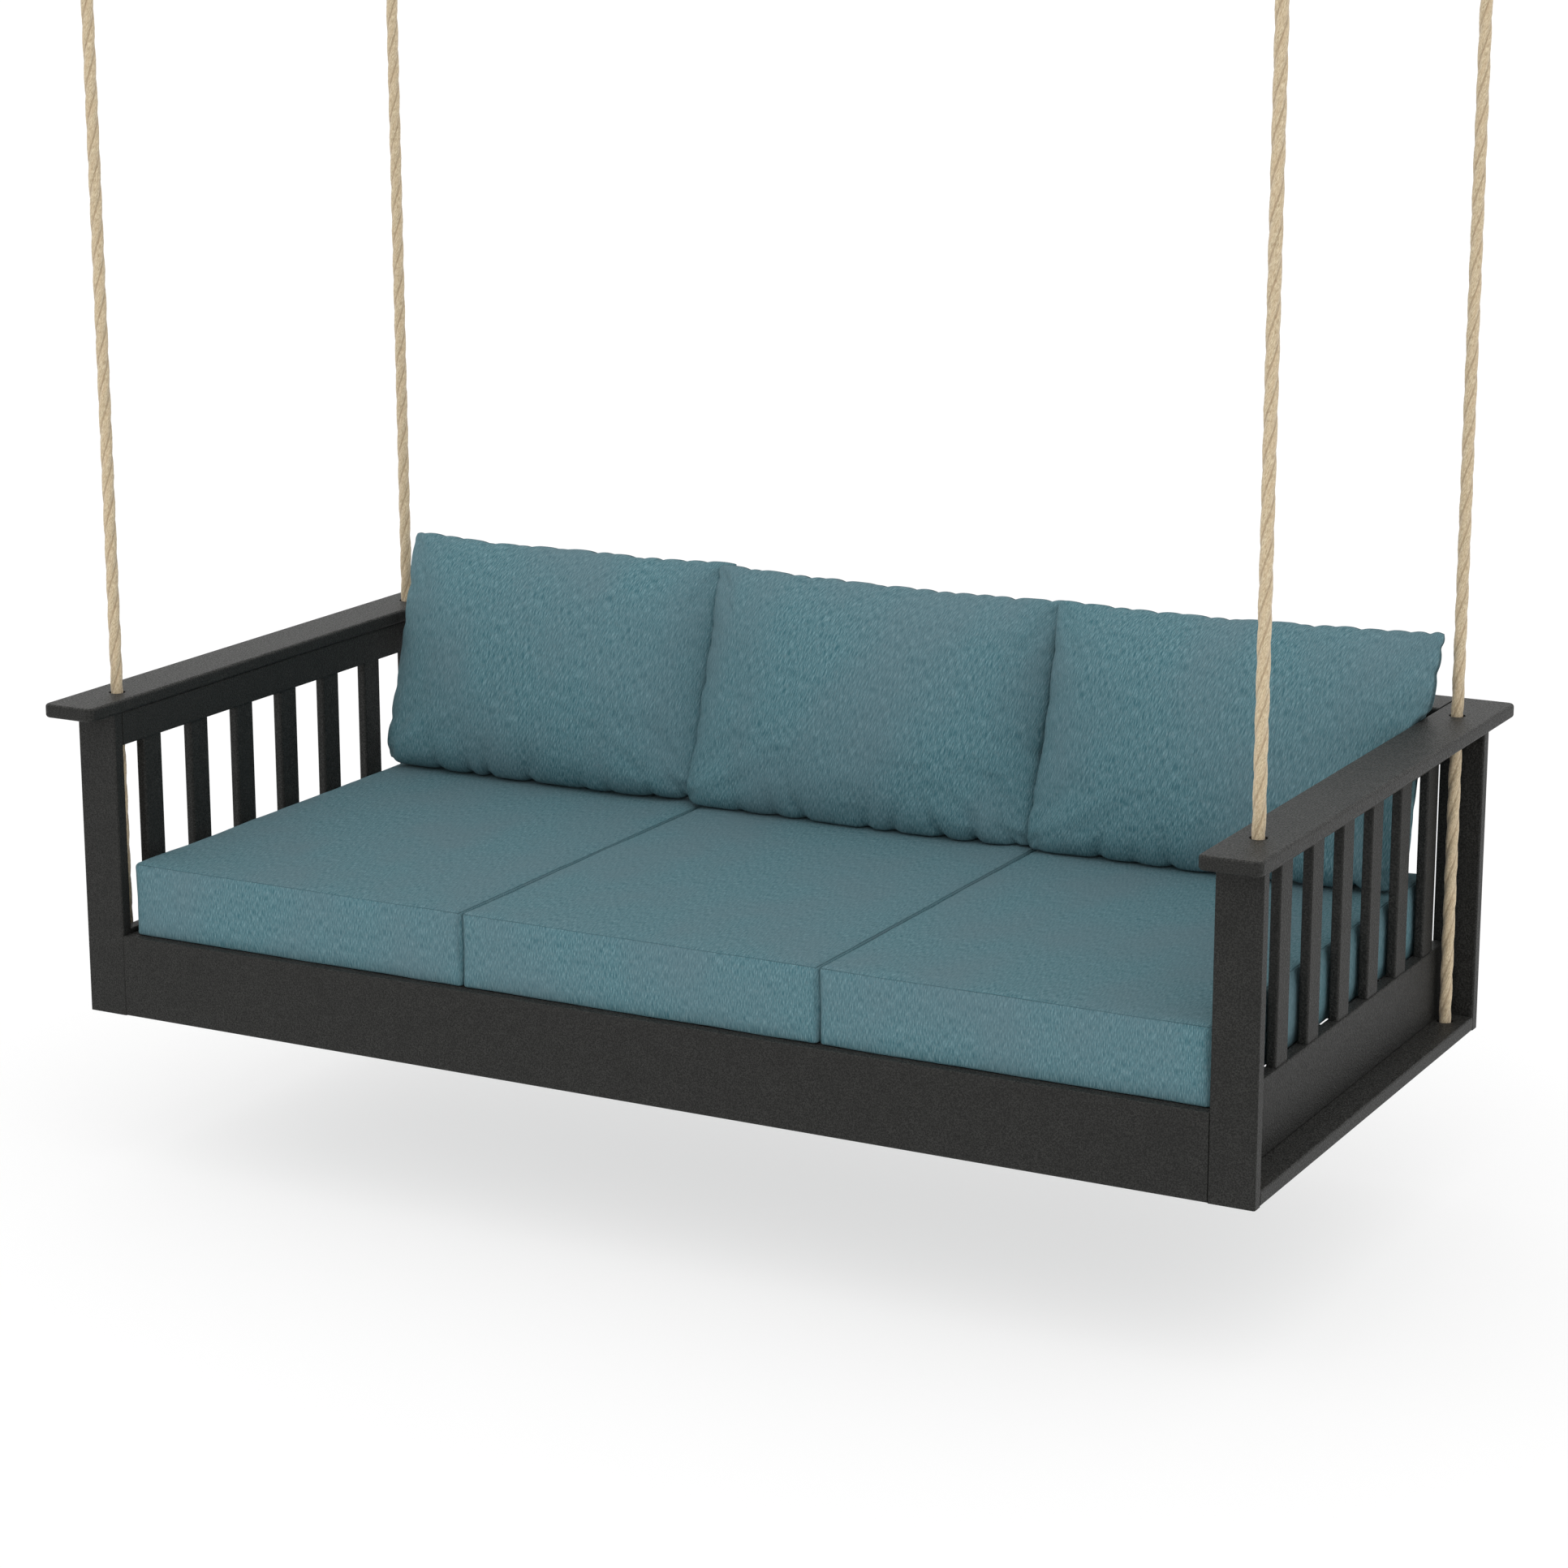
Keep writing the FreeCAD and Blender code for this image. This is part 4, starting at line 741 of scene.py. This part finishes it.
def resample(line, step):
    """The same line with points at even distances."""
    lengths = [0.0]
    for first, second in zip(line, line[1:]):
        lengths.append(lengths[-1] + (second - first).length)
    count = max(2, round(lengths[-1] / step))
    points, piece = [], 0
    for i in range(count + 1):
        goal = lengths[-1] * i / count
        while piece < len(line) - 2 and lengths[piece + 1] < goal:
            piece += 1
        span = lengths[piece + 1] - lengths[piece]
        points.append(line[piece].lerp(line[piece + 1], (goal - lengths[piece]) / span if span else 0))
    return points


def strand_bulge(angle):
    """Distance from a rope's middle to its surface, as a share of its radius."""
    half = pi / ROPE_STRANDS
    off = (angle + half) % (2 * half) - half
    return STRAND_OFFSET * cos(off) + sqrt((1 - STRAND_OFFSET) ** 2 - (STRAND_OFFSET * sin(off)) ** 2)


def laid_rope(name, line, radius=lambda share: ROPE_RADIUS, turn=0.0):
    """A closed mesh of strands twisted round a line of points; U runs across the strands and V along the rope."""
    deepest = 1 - strand_bulge(pi / ROPE_STRANDS)
    points, faces, grooves = [], [], []
    side = Vector((1, 0, 0))
    last = len(line) - 1
    length = 0.0
    for i, place in enumerate(line):
        ahead = (line[min(i + 1, last)] - line[max(i - 1, 0)]).normalized()
        side = (side - ahead * side.dot(ahead)).normalized()
        up = ahead.cross(side)
        if i:
            length += (place - line[i - 1]).length
        twist = turn + 2 * pi * length / ROPE_LAY
        for j in range(ROPE_RING):
            angle = 2 * pi * j / ROPE_RING
            bulge = strand_bulge(angle - twist)
            out = side * cos(angle) + up * sin(angle)
            spot = place + out * radius(i / last) * bulge
            grain = Vector((FIBRES_ROUND * cos(angle - twist), FIBRES_ROUND * sin(angle - twist),
                            length * FIBRES_ALONG))
            spot += out * (FIBRE_DEEP * noise.noise(grain) + FUZZ_DEEP * noise.noise(spot * FUZZ_FINE))
            points.append(spot)
            grooves.append((1 - bulge) / deepest)
    for i in range(last):
        for j in range(ROPE_RING):
            k = (j + 1) % ROPE_RING
            here, there = i * ROPE_RING, (i + 1) * ROPE_RING
            faces.append((here + j, here + k, there + k, there + j))
    for i, order in ((0, -1), (last, 1)):
        faces.append([i * ROPE_RING + j for j in range(ROPE_RING)][::order])
    item = add_mesh(name, points, faces, rope)
    step = length / last
    weave = item.data.uv_layers.new(name="weave")
    for face in item.data.polygons:
        places = [divmod(item.data.loops[l].vertex_index, ROPE_RING) for l in face.loop_indices]
        closes = ROPE_RING - 1 in [ring for _, ring in places]
        for l, (i, ring) in zip(face.loop_indices, places):
            share = ring / ROPE_RING + (1 if ring == 0 and closes else 0)
            weave.data[l].uv = (share - (turn / (2 * pi) + i * step / ROPE_LAY), i * step)
    mark(item, "groove", grooves)
    return item


def rope_end(high, bend):
    """A rope's radius down to its ball end, whose middle is where the rope bends in the arm's hole."""
    low = bend - ROPE_RADIUS

    def radius(share):
        under = max(0, bend - (high + (low - high) * share))
        return max(ROPE_TIP, sqrt(max(0, ROPE_RADIUS ** 2 - under ** 2)))
    return radius


def straight_rope(node, body, x, y, **shape):
    """A plumb length of rope, held taut by the seat's weight."""
    low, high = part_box(node)
    line = spline_points([(x, y, high.z), (x, y, (high.z + low.z) / 2), (x, y, low.z)], ROPE_STEP)
    piece = laid_rope(node + "_strands", line, **shape)
    attach(piece, body, node)


def hanging_rope(side, end):
    """A rope in two lengths that part in the arm's hole; the strands run on from one to the other."""
    node = "%s_%s_rope" % (side, end)
    low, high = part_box(node)
    x, y = (low.x + high.x) / 2, (low.y + high.y) / 2
    straight_rope(node, end + "_ropes", x, y, radius=rope_end(high.z, low.z + ROPE_RADIUS))
    straight_rope(node + "_tail", "seat", x, y, turn=2 * pi * (high.z - low.z) / ROPE_LAY)


def rope_eye(side, end):
    """The rope runs round its thimble and is spliced back into itself."""
    node = end + "_rope_eyes"
    low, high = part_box(node)
    thimble_low, thimble_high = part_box(end + "_thimbles")
    rope_low, rope_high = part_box("%s_%s_rope" % (side, end))
    x, y = (rope_low.x + rope_high.x) / 2, (thimble_low.y + thimble_high.y) / 2
    middle = (thimble_low.z + thimble_high.z) / 2
    loop = high.z - ROPE_RADIUS - middle
    turns = [radians(-90 + LOOP_GAP + (360 - 2 * LOOP_GAP) * i / LOOP_POINTS) for i in range(LOOP_POINTS + 1)]
    line = [Vector((x, y + loop * cos(a), middle + loop * sin(a))) for a in turns]
    piece = laid_rope("%s_%s_rope_loop" % (side, end), resample(line, ROPE_STEP))
    attach(piece, end + "_ropes", node)
    line = [Vector((x, y, rope_high.z - SPLICE_DOWN)), Vector((x, y, middle - loop + SPLICE_UP))]
    thicker = SPLICE_RADIUS - ROPE_RADIUS
    piece = laid_rope("%s_%s_rope_splice" % (side, end), resample(line, ROPE_STEP),
                      lambda share: ROPE_RADIUS + thicker * smooth_step(share, 0.0, SPLICE_FULL))
    attach(piece, end + "_ropes", node)


camera()
plastic, steel, rope = plastic_material(), steel_material(), rope_material()
# One cloth in two copies, the seats' painted darker than the backs' for the light each gets
seat_cloth, back_cloth = cloth_material("seat_cloth", *SEAT_CLOTH), cloth_material("back_cloth", *BACK_CLOTH)

for place, name in enumerate(CUSHIONS):
    seat_cushion(place, name)
    back_cushion(place, name)
for make in (hanging_rope, rope_eye):
    for end in ENDS:
        for side in SIDES:
            make(side, end)

finishes = {"frame": plastic, "steel": steel, "rope": rope, "cushion": seat_cloth}
slots = {entry["node"]: entry["material_slot"] for entry in frame["record"]["subparts"]}
for name, item in frame["nodes"].items():
    item.data.materials.clear()
    item.data.materials.append(finishes[slots[name]])

floor()
sky()
sun()
bpy.context.scene.view_settings.view_transform = "Standard"
